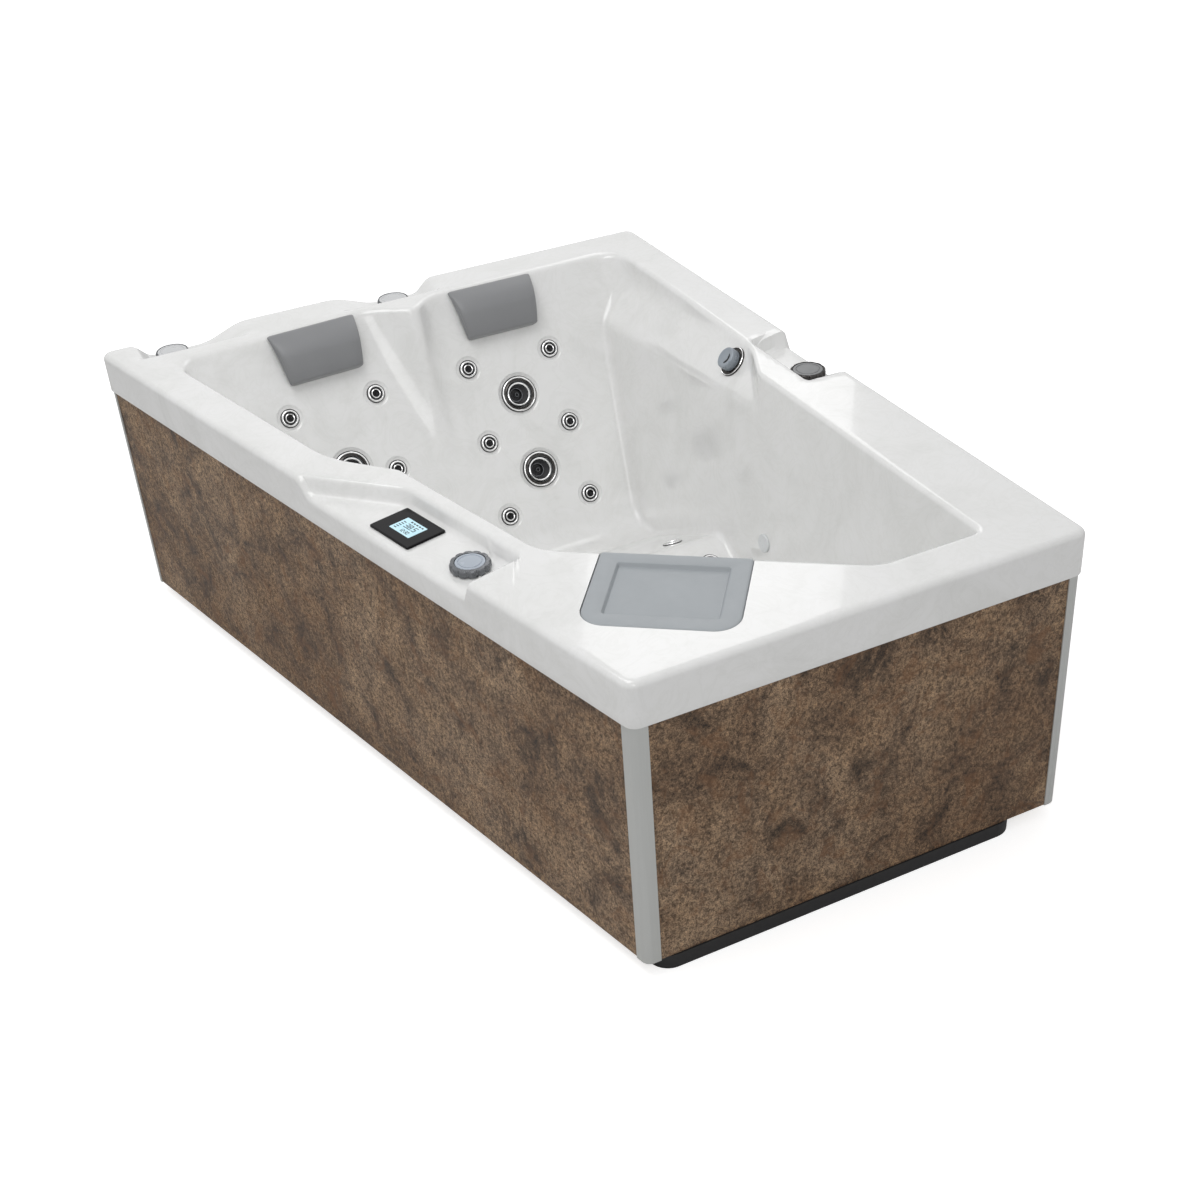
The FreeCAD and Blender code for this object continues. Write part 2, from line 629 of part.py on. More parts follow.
LID_FLOOR = HEIGHT - LID_THICKNESS - SEAT_GAP
CANISTER_FLOOR = SUCTION_LEVEL + CANISTER_RISE
CANISTER_DEPTH = LID_FLOOR - WELL_BOX_DEPTH - CANISTER_FLOOR
CARTRIDGE_LENGTH = CANISTER_DEPTH - CARTRIDGE_ROOM
MOUTH_TOP = LID_FLOOR - MOUTH_DROP
MOUTH_BOTTOM = MOUTH_TOP - MOUTH_HEIGHT
MOUTH_MIDDLE = LID_START + LID_LENGTH / 2
LID_FRAME = frame_of(along_lid(MOUTH_MIDDLE, 0), ALONG, UP)


def jet_places():
    """Every jet on the seat backs: (placement, is it a big one)."""
    places = []
    for drop in JET_ROWS + (HEIGHT - LOW_JET_LEVEL,):
        for side in (-1, 1):
            places.append((seat_frame(False, RIGHT_SEAT_Y + side * JET_COLUMN, drop), False))
    for drop in JET_ROWS:
        for side in (-1, 1):
            places.append((seat_frame(True, LEFT_SEAT_Y + side * JET_COLUMN, drop), False))
    for drop in BIG_JET_ROWS:
        places.append((seat_frame(False, RIGHT_SEAT_Y, drop), True))
    places.append((seat_frame(True, LEFT_SEAT_Y, LEFT_BIG_JET_ROW), True))
    return places


def axis_of(frame):
    return frame.Rotation.multVec(UP)


def cap_places():
    shelf = front_point(DIVERTER_X, CAP_EDGE_SHELF)
    head = -HALF + CAP_EDGE_HEAD
    back = BACK_Y - CAP_EDGE_HEAD
    return [("diverter_knob", vec(shelf[0], shelf[1], POCKET_FLOOR)),
            ("air_knob_left", vec(head, LEFT_POCKET_Y + LEFT_CAP_ALONG, POCKET_FLOOR)),
            ("air_knob_middle", vec(head, MIDDLE_POCKET_Y + MIDDLE_CAP_ALONG, POCKET_FLOOR)),
            ("air_knob_back", vec(BACK_POCKET_X + BACK_CAP_ALONG, back, POCKET_FLOOR))]


def wall_knob_frame():
    top = vec(WALL_KNOB_X, FACET_TOP.y, HEIGHT)
    down = FACET_NORMAL.cross(vec(1, 0, 0)).normalize()
    down = down if down.z < 0 else down * -1
    on_top = top - FACET_NORMAL * (top - FACET_TOP).dot(FACET_NORMAL)
    return frame_of(on_top + down * (WALL_KNOB_DROP / -down.z), vec(1, 0, 0), FACET_NORMAL)


def light_frame():
    outward = drafted(90.0, BACK_DRAFT)
    y = BACK_Y - BACK_DECK - (HEIGHT - LIGHT_LEVEL) * tan(BACK_DRAFT)
    return frame_of(vec(LIGHT_X, y, LIGHT_LEVEL), vec(1, 0, 0), outward * -1)


def suction_frames():
    lean = (HEIGHT - SUCTION_LEVEL) * tan(WALL_DRAFT)
    outward = drafted(DIAGONAL_ANGLE - 90.0, WALL_DRAFT)
    return [frame_of(along_lid(along, -lean, SUCTION_LEVEL), ALONG, outward * -1)
            for along in SUCTION_ALONG]


def pin_frames(left):
    middle = LEFT_SEAT_Y if left else RIGHT_SEAT_Y
    drop = PILLOW_LENGTH / 2 * math.cos(math.radians(SEAT_TILT))
    return [seat_frame(left, middle + side * PIN_PITCH / 2, drop) for side in (-1, 1)]


def display_frame():
    x, y = front_point(DISPLAY_X, DISPLAY_EDGE)
    return frame_of(vec(x, y, POCKET_FLOOR), vec(FRONT_RUN[0], FRONT_RUN[1]), UP)


def hole(frame, radius, depth, above=OPEN_ABOVE):
    """Cutter along a placement's Z, from depth below it to a height above."""
    axis = axis_of(frame)
    return cylinder(radius, depth + above, frame.Base - axis * depth, axis)


def tub_shell():
    block = rim_outline(0, LIP_BOTTOM, HEIGHT)
    top = [e for e in block.Edges if min(v.Z for v in e.Vertexes) > HEIGHT - 0.1
           and e.BoundBox.ZLength < 0.1]
    block = block.makeFillet(RIM_EDGE_RADIUS, top)
    under = rim_outline(SHELL_WALL, LIP_BOTTOM - CUT, HEIGHT - SHELL_WALL)
    body = block.cut(under)
    plan = rim_outline(0, 0, HEIGHT)
    for pocket in pockets(SHELL_WALL):
        body = body.fuse(pocket.common(plan).common(block))
    recess_outside = lid_plan(SHELL_WALL, LID_NEAR_RADIUS + SHELL_WALL, LID_FAR_RADIUS + SHELL_WALL,
                              LID_FLOOR - SHELL_WALL, HEIGHT - CUT)
    body = body.fuse(basin(SHELL_WALL)).fuse(recess_outside)
    body = body.cut(basin(0))
    for pocket in pockets(0):
        body = body.cut(pocket)
    body = body.cut(lid_plan(LID_CLEARANCE, LID_NEAR_RADIUS + LID_CLEARANCE,
                             LID_FAR_RADIUS + LID_CLEARANCE, LID_FLOOR, HEIGHT + CUT))
    body = body.cut(well_plan(0, LID_FLOOR - 2 * SHELL_WALL, HEIGHT))
    body = body.cut(box_at(LID_FRAME, (MOUTH_WIDTH, 2 * MOUTH_REACH, MOUTH_HEIGHT),
                           (0, 0, (MOUTH_TOP + MOUTH_BOTTOM) / 2)))
    cutters = []
    for frame, is_big in jet_places():
        cutters.append(hole(frame, BIG_RECESS_RADIUS if is_big else SMALL_RECESS_RADIUS,
                            BIG_RECESS_DEPTH if is_big else SMALL_RECESS_DEPTH))
        cutters.append(hole(frame, (BIG_BODY_RADIUS if is_big else SMALL_BODY_RADIUS) + FIT_GAP,
                            2 * SHELL_WALL))
    for _, place in cap_places():
        cutters.append(cylinder(VALVE_RADIUS + FIT_GAP, 4 * SHELL_WALL, place - UP * 2 * SHELL_WALL))
    cutters.append(hole(wall_knob_frame(), VALVE_RADIUS + FIT_GAP, 2 * SHELL_WALL))
    cutters.append(hole(light_frame(), LIGHT_HOUSING_RADIUS + FIT_GAP, 2 * SHELL_WALL))
    for left in (False, True):
        for frame in pin_frames(left):
            cutters.append(hole(frame, PIN_RADIUS + FIT_GAP, 2 * SHELL_WALL))
    for frame in suction_frames():
        cutters.append(hole(frame, PIPE_RADIUS + FIT_GAP, 2 * SHELL_WALL))
    cutters.append(box_at(display_frame(), (HOUSING_LENGTH + 2 * FIT_GAP, HOUSING_WIDTH + 2 * FIT_GAP,
                                            4 * SHELL_WALL), (0, 0, 0)))
    for cutter in cutters:
        body = body.cut(cutter)
    return body


# ---------------------------------------------------------------- cabinet
def side_frame(index):
    """Placement at the start of a side: X along it, Y inwards, Z up."""
    a, b = CORNERS[index], CORNERS[(index + 1) % 4]
    run = vec(b[0] - a[0], b[1] - a[1])
    return frame_of(vec(a[0], a[1]), run.normalize(), UP), math.hypot(b[0] - a[0], b[1] - a[1])


def side_box(index, start, end, inset, thickness, low, high):
    """Board along a side, between two distances from its start."""
    frame, _ = side_frame(index)
    return box_at(frame, (end - start, thickness, high - low),
                  ((start + end) / 2, inset + thickness / 2, (low + high) / 2))


def half_corner(index):
    """Half the inner angle at a corner of the plan."""
    x, y = CORNERS[index]
    before, after = CORNERS[index - 1], CORNERS[(index + 1) % 4]
    a = vec(before[0] - x, before[1] - y)
    b = vec(after[0] - x, after[1] - y)
    return a.getAngle(b) / 2


POST_INSET = PANEL_INSET - SEAT_GAP - POST_THICKNESS


def side_panel(index):
    """Flat panel whose ends stop inside the rounded corner posts."""
    _, run = side_frame(index)
    start, end = [(POST_INSET + POST_RADIUS) / math.tan(half_corner(i)) + SEAT_GAP
                  for i in (index, (index + 1) % 4)]
    return side_box(index, start, run - end, PANEL_INSET, PANEL_THICKNESS,
                    PANEL_BOTTOM, LIP_BOTTOM + PANEL_LAP)


def corner_post(index):
    """Rounded angle profile that covers the ends of two panels."""
    top = LIP_BOTTOM - SEAT_GAP
    skin = rounded_prism(offset_polygon(CORNERS, POST_INSET), PANEL_BOTTOM, top, POST_RADIUS)
    core = rounded_prism(offset_polygon(CORNERS, POST_INSET + POST_THICKNESS), PANEL_BOTTOM - CUT,
                         top + CUT, POST_RADIUS - POST_THICKNESS)
    x, y = offset_polygon(CORNERS, POST_INSET)[index]
    return skin.cut(core).common(cylinder(POST_LEG, top, vec(x, y, 0)))


def pan_outline(extra, low, high):
    insets = [inset + extra for inset in PAN_INSETS]
    return rounded_prism(offset_polygon(CORNERS, insets), low, high, PAN_CORNER_RADIUS - extra)


def base_pan():
    return pan_outline(0, 0, PAN_HEIGHT).cut(pan_outline(PAN_WALL, PAN_FLOOR, PAN_HEIGHT + CUT))


def pan_skids():
    inside = pan_outline(PAN_WALL + SEAT_GAP, PAN_FLOOR + SEAT_GAP, PAN_HEIGHT)
    skids = [inside.common(Part.makeBox(BEARER_WIDTH, 2 * HEAD_WIDTH, PAN_HEIGHT,
                                        vec(x - BEARER_WIDTH / 2, -HEAD_WIDTH, 0))) for x in SKID_X]
    return group(skids)


RAIL_INSET = PANEL_INSET + PANEL_THICKNESS + SEAT_GAP


def rail_ring(low, high):
    ring = prism(offset_polygon(CORNERS, RAIL_INSET), low, high)
    return ring.cut(prism(offset_polygon(CORNERS, RAIL_INSET + RAIL_WIDTH), low - CUT, high + CUT))


def lower_frame():
    """Four mitred rails and the bearers between the front and the back one."""
    ring = rail_ring(RAIL_LEVEL, RAIL_LEVEL + LOWER_RAIL_HEIGHT)
    inside = offset_polygon(CORNERS, 2 * RAIL_WIDTH)
    for (x, y), (u, v) in zip(CORNERS, inside):
        cut = frame_of(vec((x + u) / 2, (y + v) / 2, 0), vec(u - x, v - y), UP)
        ring = ring.cut(box_at(cut, (6 * RAIL_WIDTH, SAW_CUT, BIG), (0, 0, 0)))
    room = prism(offset_polygon(CORNERS, RAIL_INSET + RAIL_WIDTH + SEAT_GAP),
                 RAIL_LEVEL, FLOOR_LEVEL - SHELL_WALL - SEAT_GAP)
    bearers = [room.common(Part.makeBox(BEARER_WIDTH, 2 * HEAD_WIDTH, BIG,
                                        vec(x - BEARER_WIDTH / 2, -HEAD_WIDTH, 0))) for x in BEARER_X]
    return group(ring.Solids + bearers)


def stud_places():
    """Side and distance along it of every stud that stands clear of the corners."""
    places = []
    for x in FRONT_STUD_X:
        places.append((0, (x + HALF) / math.cos(FRONT_ANGLE)))
    places.append((1, FOOT_STUD_Y - CORNERS[1][1]))
    for x in BACK_STUD_X:
        places.append((2, HALF - x))
    for y in HEAD_STUD_Y:
        places.append((3, BACK_Y - y))
    return places


def studs(extra):
    """Posts on the lower rails, up to the underside of the rim; extra widens them."""
    low = RAIL_LEVEL + LOWER_RAIL_HEIGHT + SEAT_GAP
    high = HEIGHT - SHELL_WALL - SEAT_GAP
    posts = []
    for index, at in stud_places():
        posts.append(side_box(index, at - RAIL_WIDTH / 2 - extra, at + RAIL_WIDTH / 2 + extra,
                              RAIL_INSET, RAIL_WIDTH, low, high))
    ring = rail_ring(low, high)
    for x, y in CORNERS:
        posts.append(ring.common(cylinder(STUD_CORNER_REACH + extra, BIG, vec(x, y, 0))))
    return posts


def noggins():
    """Upper rails, let in between the studs."""
    ring = rail_ring(NOGGIN_LEVEL, NOGGIN_LEVEL + NOGGIN_HEIGHT)
    for post in studs(SEAT_GAP):
        ring = ring.cut(post)
    return group(ring.Solids)


# ---------------------------------------------------------------- pillows
def pillow_section(frame, down, width, thickness):
    """Closed outline across the pillow: flat back, swelling sides, crowned face."""
    low = PILLOW_SEAT_GAP
    half = width / 2
    shoulder = low + PILLOW_SHOULDER * thickness
    side = low + PILLOW_SIDE * thickness
    back_left, back_right = (-half + PILLOW_BACK_EDGE, low), (half - PILLOW_BACK_EDGE, low)
    top_left = (-half + PILLOW_SHOULDER_EDGE, shoulder)
    top_right = (half - PILLOW_SHOULDER_EDGE, shoulder)

    def at(p):
        return frame.multVec(vec(p[0], -down, p[1]))

    edges = [Part.LineSegment(at(back_left), at(back_right)),
             Part.Arc(at(back_right), at((half, side)), at(top_right)),
             Part.Arc(at(top_right), at((0, low + thickness)), at(top_left)),
             Part.Arc(at(top_left), at((-half, side)), at(back_left))]
    return Part.Wire([e.toShape() for e in edges])


def pillow(left):
    """Crowned cushion on the seat back, thin at the rim and full towards the neck."""
    middle = LEFT_SEAT_Y if left else RIGHT_SEAT_Y
    frame = seat_frame(left, middle, PILLOW_TOP_GAP)
    sections = [pillow_section(frame, share * PILLOW_LENGTH, PILLOW_WIDTH - narrower, thickness)
                for share, narrower, thickness in PILLOW_SECTIONS]
    body = Part.makeLoft(sections, True, False)
    for pin in pin_frames(left):
        body = body.cut(hole(pin, SPIGOT_RADIUS + SEAT_GAP, 0, SPIGOT_REACH + CUT))
    return body


def pillow_pins(left):
    """Studs that carry the pillow: a shank in the shell and a spigot in the pillow."""
    pins = []
    for frame in pin_frames(left):
        axis = axis_of(frame)
        shank = cylinder(PIN_RADIUS, PIN_LENGTH, frame.Base - axis * PIN_LENGTH, axis)
        spigot = cylinder(SPIGOT_RADIUS, SPIGOT_REACH, frame.Base, axis)
        pins.append(shank.fuse(spigot))
    return group(pins)


# ---------------------------------------------------------------- control display
def display_bezel():
    frame = display_frame()
    body = box_at(frame, (DISPLAY_LENGTH, DISPLAY_WIDTH, DISPLAY_HEIGHT),
                  (0, 0, SEAT_GAP + DISPLAY_HEIGHT / 2))
    body = body.makeFillet(DISPLAY_RADIUS, upright_edges(body))
    pocket = box_at(frame, (SCREEN_LENGTH, SCREEN_WIDTH, 2 * SCREEN_DEPTH),
                    (0, 0, SEAT_GAP + DISPLAY_HEIGHT))
    return body.cut(pocket)


def display_screen():
    """Glass of the screen, a little below the bezel's face."""
    thickness = SCREEN_DEPTH - SEAT_GAP - SCREEN_SINK
    top = SEAT_GAP + DISPLAY_HEIGHT - SCREEN_SINK
    return box_at(display_frame(), (SCREEN_LENGTH - SEAT_GAP, SCREEN_WIDTH - SEAT_GAP, thickness),
                  (0, 0, top - thickness / 2))


def display_housing():
    return box_at(display_frame(), (HOUSING_LENGTH, HOUSING_WIDTH, HOUSING_DEPTH),
                  (0, 0, -HOUSING_DEPTH / 2))


# ---------------------------------------------------------------- filter well
def filter_lid():
    body = lid_plan(0, LID_NEAR_RADIUS, LID_FAR_RADIUS, LID_FLOOR + SEAT_GAP, HEIGHT)
    border = LID_TRAY_BORDER
    a, b = LID_START + border, LID_START + LID_LENGTH - border
    c, d = LID_TRAY_FAR_BORDER, LID_WIDTH - border
    points = [along_lid(a, c), along_lid(a, d), along_lid(b, d), along_lid(b, c)]
    tray = rounded_prism([(p.x, p.y) for p in points], HEIGHT - LID_TRAY_DEPTH, HEIGHT + CUT,
                         LID_TRAY_RADIUS)
    return body.cut(tray)


def well_middle():
    return along_lid(MOUTH_MIDDLE, (WELL_FAR_BORDER + LID_WIDTH - WELL_BORDER) / 2)


def filter_housing():
    """Skimmer box hung under the lid's seat, with a throat to the basin and a round canister."""
    top = LID_FLOOR - FIT_GAP
    low = LID_FLOOR - WELL_BOX_DEPTH
    flange_top = LID_FLOOR - SHELL_WALL - SEAT_GAP
    middle = well_middle()
    bottom = CANISTER_FLOOR
    level = (MOUTH_TOP + MOUTH_BOTTOM) / 2
    throat_end = -THROAT_SINK
    throat_root = -WELL_FAR_BORDER - WELL_WALL / 2
    width, height = throat_size(0)
    body = well_plan(-FIT_GAP, low, top)
    body = body.fuse(well_plan(WELL_FLANGE, flange_top - WELL_WALL, flange_top))
    body = body.fuse(cylinder(CANISTER_RADIUS, CANISTER_DEPTH + CUT, vec(middle.x, middle.y, bottom)))
    body = body.fuse(box_at(LID_FRAME, (width, throat_end - throat_root, height),
                            (0, (throat_end + throat_root) / 2, level)))
    body = body.cut(well_plan(-FIT_GAP - WELL_WALL, low + WELL_WALL, top + CUT))
    width, height = throat_size(WELL_WALL)
    body = body.cut(box_at(LID_FRAME, (width, 2 * WELL_BORDER, height), (0, throat_root + CUT, level)))
    body = body.cut(cylinder(CANISTER_RADIUS - WELL_WALL, CANISTER_DEPTH + 2 * WELL_WALL,
                             vec(middle.x, middle.y, bottom + WELL_WALL)))
    spigot = CARTRIDGE_BORE - FIT_GAP
    body = body.fuse(tube(spigot, spigot - WELL_WALL, SPIGOT_LENGTH + CUT,
                          vec(middle.x, middle.y, bottom + WELL_WALL - CUT)))
    body = body.cut(cylinder(spigot - WELL_WALL, 2 * WELL_WALL, vec(middle.x, middle.y, bottom - CUT)))
    return body.cut(cylinder(FLAP_PIN_RADIUS, MOUTH_WIDTH, *flap_axis(MOUTH_WIDTH)))


def throat_size(wall):
    """Width and height of the throat, drawn in by a wall on each side."""
    return MOUTH_WIDTH - 2 * FIT_GAP - 2 * wall, MOUTH_HEIGHT - 2 * FIT_GAP - 2 * wall


def flap_axis(length):
    """Start and direction of the weir flap's pin, near the throat's floor."""
    level = MOUTH_BOTTOM + FIT_GAP + WELL_WALL + FLAP_BARREL_RADIUS + FLAP_CLEARANCE
    return along_lid(MOUTH_MIDDLE - length / 2, FLAP_ACROSS, level), ALONG


def weir_pin():
    width, _ = throat_size(0)
    return cylinder(FLAP_PIN_RADIUS, width, *flap_axis(width))


def weir_flap():
    """Plate with a hinge barrel along its foot."""
    width = throat_size(WELL_WALL)[0] - 2 * FLAP_CLEARANCE
    start, _ = flap_axis(width)
    top = MOUTH_TOP - FIT_GAP - WELL_WALL - FLAP_CLEARANCE
    plate = box_at(LID_FRAME, (width, FLAP_THICKNESS, top - start.z),
                   (0, -FLAP_ACROSS, (top + start.z) / 2))
    barrel = cylinder(FLAP_BARREL_RADIUS, width, *flap_axis(width))
    return plate.fuse(barrel).cut(cylinder(FLAP_PIN_RADIUS + PIN_CLEARANCE, BIG, *flap_axis(BIG)))


def filter_cartridge():
    """Pleated filter's body with its closed top and a grip, seated over the outlet's spigot."""
    middle = well_middle()
    low = CANISTER_FLOOR + WELL_WALL + SEAT_GAP
    base = vec(middle.x, middle.y, low)
    body = cylinder(CARTRIDGE_RADIUS, CARTRIDGE_LENGTH, base)
    body = body.cut(cylinder(CARTRIDGE_BORE, CARTRIDGE_LENGTH - CARTRIDGE_TOP, base))
    frame = frame_of(vec(middle.x, middle.y, low + CARTRIDGE_LENGTH), ALONG, UP)
    grip = box_at(frame, CARTRIDGE_GRIP, (0, 0, CARTRIDGE_GRIP[2] / 2 - CUT))
    return body.fuse(grip)


# ---------------------------------------------------------------- rim and wall valves
def cap_knob(place):
    """Scalloped turning cap with its stem."""
    base = place + UP * CAP_LIFT
    body = cylinder(CAP_RADIUS, CAP_HEIGHT - CAP_EDGE, base)
    body = body.fuse(Part.makeCone(CAP_RADIUS, CAP_RADIUS - CAP_EDGE, CAP_EDGE,
                                   base + UP * (CAP_HEIGHT - CAP_EDGE)))
    for i in range(CAP_SCALLOPS):
        spot = place + turned(360.0 * i / CAP_SCALLOPS) * (CAP_RADIUS + CAP_SCALLOP_OUT)
        body = body.cut(cylinder(CAP_SCALLOP_RADIUS, 2 * CAP_HEIGHT, spot))
    return body.fuse(cylinder(STEM_RADIUS, VALVE_LENGTH / 2 + CUT, base - UP * VALVE_LENGTH / 2))


def valve_body(frame):
    """Valve under a turning cap: barrel through the shell, nut behind it and two ports."""
    axis = axis_of(frame)
    nut = frame.Base - axis * (SHELL_WALL + SEAT_GAP + VALVE_FLANGE)
    end = frame.Base - axis * VALVE_LENGTH
    body = cylinder(VALVE_RADIUS, VALVE_LENGTH, end, axis)
    body = body.fuse(cylinder(VALVE_FLANGE_RADIUS, VALVE_FLANGE, nut, axis))
    side = frame.Rotation.multVec(vec(1, 0, 0))
    port = end + axis * (PORT_RADIUS + BODY_WALL)
    for run in (side, side * -1):
        body = body.fuse(cylinder(PORT_RADIUS, VALVE_RADIUS + PORT_LENGTH, port, run))
        body = body.cut(cylinder(PORT_RADIUS - BODY_WALL, BIG, port, run))
    return body.cut(cylinder(STEM_RADIUS + STEM_CLEARANCE, VALVE_LENGTH, end + axis * 2 * BODY_WALL, axis))


def valve_bodies():
    """The valves of all five knobs; each one's ports lie along the nearest side."""
    runs = {"diverter_knob": vec(*FRONT_RUN), "air_knob_back": vec(1, 0)}
    bodies = [valve_body(frame_of(place, runs.get(name, vec(0, 1)), UP)) for name, place in cap_places()]
    return group(bodies + [valve_body(wall_knob_frame())])


def wall_knob_ring():
    frame = wall_knob_frame()
    axis = axis_of(frame)
    return tube(WALL_RING_RADIUS, WALL_KNOB_RADIUS + 2 * FIT_GAP, WALL_RING_HEIGHT,
                frame.Base + axis * SEAT_GAP, axis)


def wall_knob():
    """Round knob with a finger slot in its face, on a stem."""
    frame = wall_knob_frame()
    axis = axis_of(frame)
    base = frame.Base + axis * CAP_LIFT
    body = cylinder(WALL_KNOB_RADIUS, WALL_KNOB_HEIGHT, base, axis)
    body = body.cut(box_at(frame, KNOB_SLOT, (0, -KNOB_SLOT_OFFSET, CAP_LIFT + WALL_KNOB_HEIGHT)))
    stem = cylinder(STEM_RADIUS, VALVE_LENGTH / 2 + CUT, base - axis * VALVE_LENGTH / 2, axis)
    return body.fuse(stem)


# ---------------------------------------------------------------- jets
def jet_ring(frame, is_big):
    """Turning face ring, seated in its dished recess."""
    outer = BIG_RING_RADIUS if is_big else SMALL_RING_RADIUS
    bore = BIG_RING_BORE if is_big else SMALL_RING_BORE
    depth = BIG_RECESS_DEPTH if is_big else SMALL_RECESS_DEPTH
    axis = axis_of(frame)
    base = frame.Base + axis * (SEAT_GAP - depth)
    body = tube(outer, bore, RING_PROUD, base, axis)
    rims = [e for e in body.Edges
            if abs((e.CenterOfMass - base).dot(axis) - RING_PROUD) < 0.01]
    return body.makeFillet(RING_EDGE, rims)


def jet_body(frame, is_big):
    """Fitting through the shell: cup, nut behind the shell and a closed hose tail."""
    radius = BIG_BODY_RADIUS if is_big else SMALL_BODY_RADIUS
    bore = BIG_RING_BORE if is_big else SMALL_RING_BORE
    depth = BIG_RECESS_DEPTH if is_big else SMALL_RECESS_DEPTH
    length = BIG_BODY_LENGTH if is_big else BODY_LENGTH
    axis = axis_of(frame)
    face = frame.Base - axis * depth
    end = face - axis * length
    nut = frame.Base - axis * (SHELL_WALL + SEAT_GAP + BODY_NUT)
    body = cylinder(radius, length, end, axis)
    body = body.fuse(cylinder(radius + BODY_NUT, BODY_NUT, nut, axis))
    body = body.fuse(cylinder(HOSE_RADIUS - BODY_WALL, TAIL_LENGTH, end - axis * TAIL_LENGTH, axis))
    return body.cut(cylinder(bore, length, end + axis * BODY_WALL * 2, axis))


def jet_nozzle(frame):
    """Small jet's nozzle: a tube held in the cup, its mouth inside the ring."""
    axis = axis_of(frame)
    base = frame.Base - axis * (SMALL_RECESS_DEPTH + NOZZLE_DEPTH)
    return tube(SMALL_RING_BORE - SEAT_GAP, NOZZLE_BORE, NOZZLE_LENGTH, base, axis)


def jet_rotor(frame):
    """Spinning nozzle of a big jet, its outlet off centre, on a pivot at the back."""
    axis = axis_of(frame)
    face = frame.Base - axis * (BIG_RECESS_DEPTH + ROTOR_SINK)
    back = face - axis * ROTOR_LENGTH
    outlet = face + frame.Rotation.multVec(vec(ROTOR_NOZZLE_OFFSET, 0, 0))
    body = cylinder(ROTOR_RADIUS, ROTOR_LENGTH, back, axis)
    body = body.cut(cylinder(ROTOR_NOZZLE_RADIUS, 2 * ROTOR_LENGTH, outlet - axis * ROTOR_LENGTH, axis))
    floor = frame.Base - axis * (BIG_RECESS_DEPTH + BIG_BODY_LENGTH - 2 * BODY_WALL - SEAT_GAP)
    return body.fuse(cylinder(PIVOT_RADIUS, (back - floor).Length + CUT, floor, axis))


# ---------------------------------------------------------------- light and suctions
def light_lens():
    """Domed lens with its housing through the wall."""
    frame = light_frame()
    axis = axis_of(frame)
    lens = cylinder(LIGHT_RADIUS, LIGHT_PROUD, frame.Base + axis * SEAT_GAP, axis)
    front = [e for e in lens.Edges
             if abs((e.CenterOfMass - frame.Base).dot(axis) - LIGHT_PROUD - SEAT_GAP) < 0.01]
    lens = lens.makeFillet(LIGHT_EDGE, front)
    housing = cylinder(LIGHT_HOUSING_RADIUS, LIGHT_DEPTH + CUT, frame.Base - axis * LIGHT_DEPTH, axis)
    return lens.fuse(housing)


def suction_covers():
    covers = []
    for frame in suction_frames():
        axis = axis_of(frame)
        base = frame.Base + axis * SEAT_GAP
        dome = Part.makeCone(SUCTION_RADIUS, SUCTION_FACE_RADIUS, SUCTION_HEIGHT, base, axis)
        for i in range(SUCTION_SLOTS):
            spoke = FreeCAD.Placement(base, frame.Rotation.multiply(
                FreeCAD.Rotation(UP, 360.0 * i / SUCTION_SLOTS)))
            dome = dome.cut(box_at(spoke, SUCTION_SLOT + (2 * SUCTION_HEIGHT,),
                                   (SUCTION_SLOT_RADIUS, 0, SUCTION_HEIGHT + SUCTION_FACE)))
        tail = tube(PIPE_RADIUS, PIPE_RADIUS - PIPE_WALL, SUCTION_TAIL + 2 * CUT,
                    frame.Base - axis * SUCTION_TAIL, axis)
        bore = cylinder(PIPE_RADIUS - PIPE_WALL, SUCTION_BORE, frame.Base, axis)
        covers.append(dome.cut(bore).fuse(tail))
    return group(covers)


# ---------------------------------------------------------------- equipment
def pump_start():
    """Joint between motor and wet end, on the pump's axis."""
    return along_lid(PUMP_ALONG - PUMP_LENGTH / 2, PUMP_ACROSS, PUMP_LEVEL)


def pump_motor():
    """Motor drum on two feet, bored for the shaft."""
    start = pump_start()
    body = cylinder(PUMP_RADIUS, PUMP_LENGTH, start + ALONG * SEAT_GAP, ALONG)
    body = body.fuse(cylinder(PUMP_RADIUS - MOTOR_CAP_INSET, MOTOR_CAP_LENGTH + CUT,
                              start + ALONG * (PUMP_LENGTH - CUT), ALONG))
    frame = frame_of(along_lid(PUMP_ALONG, PUMP_ACROSS, 0), ALONG, UP)
    low = PAN_FLOOR + SEAT_GAP
    high = PUMP_LEVEL - PUMP_RADIUS / 2
    for side in (-1, 1):
        foot = box_at(frame, MOTOR_FOOT + (high - low,),
                      (side * MOTOR_FOOT_PITCH / 2, 0, (low + high) / 2))
        body = body.fuse(foot)
    return body.cut(cylinder(SHAFT_RADIUS + SHAFT_CLEARANCE, SHAFT_LENGTH + 2 * CUT,
                             start - ALONG * CUT, ALONG))


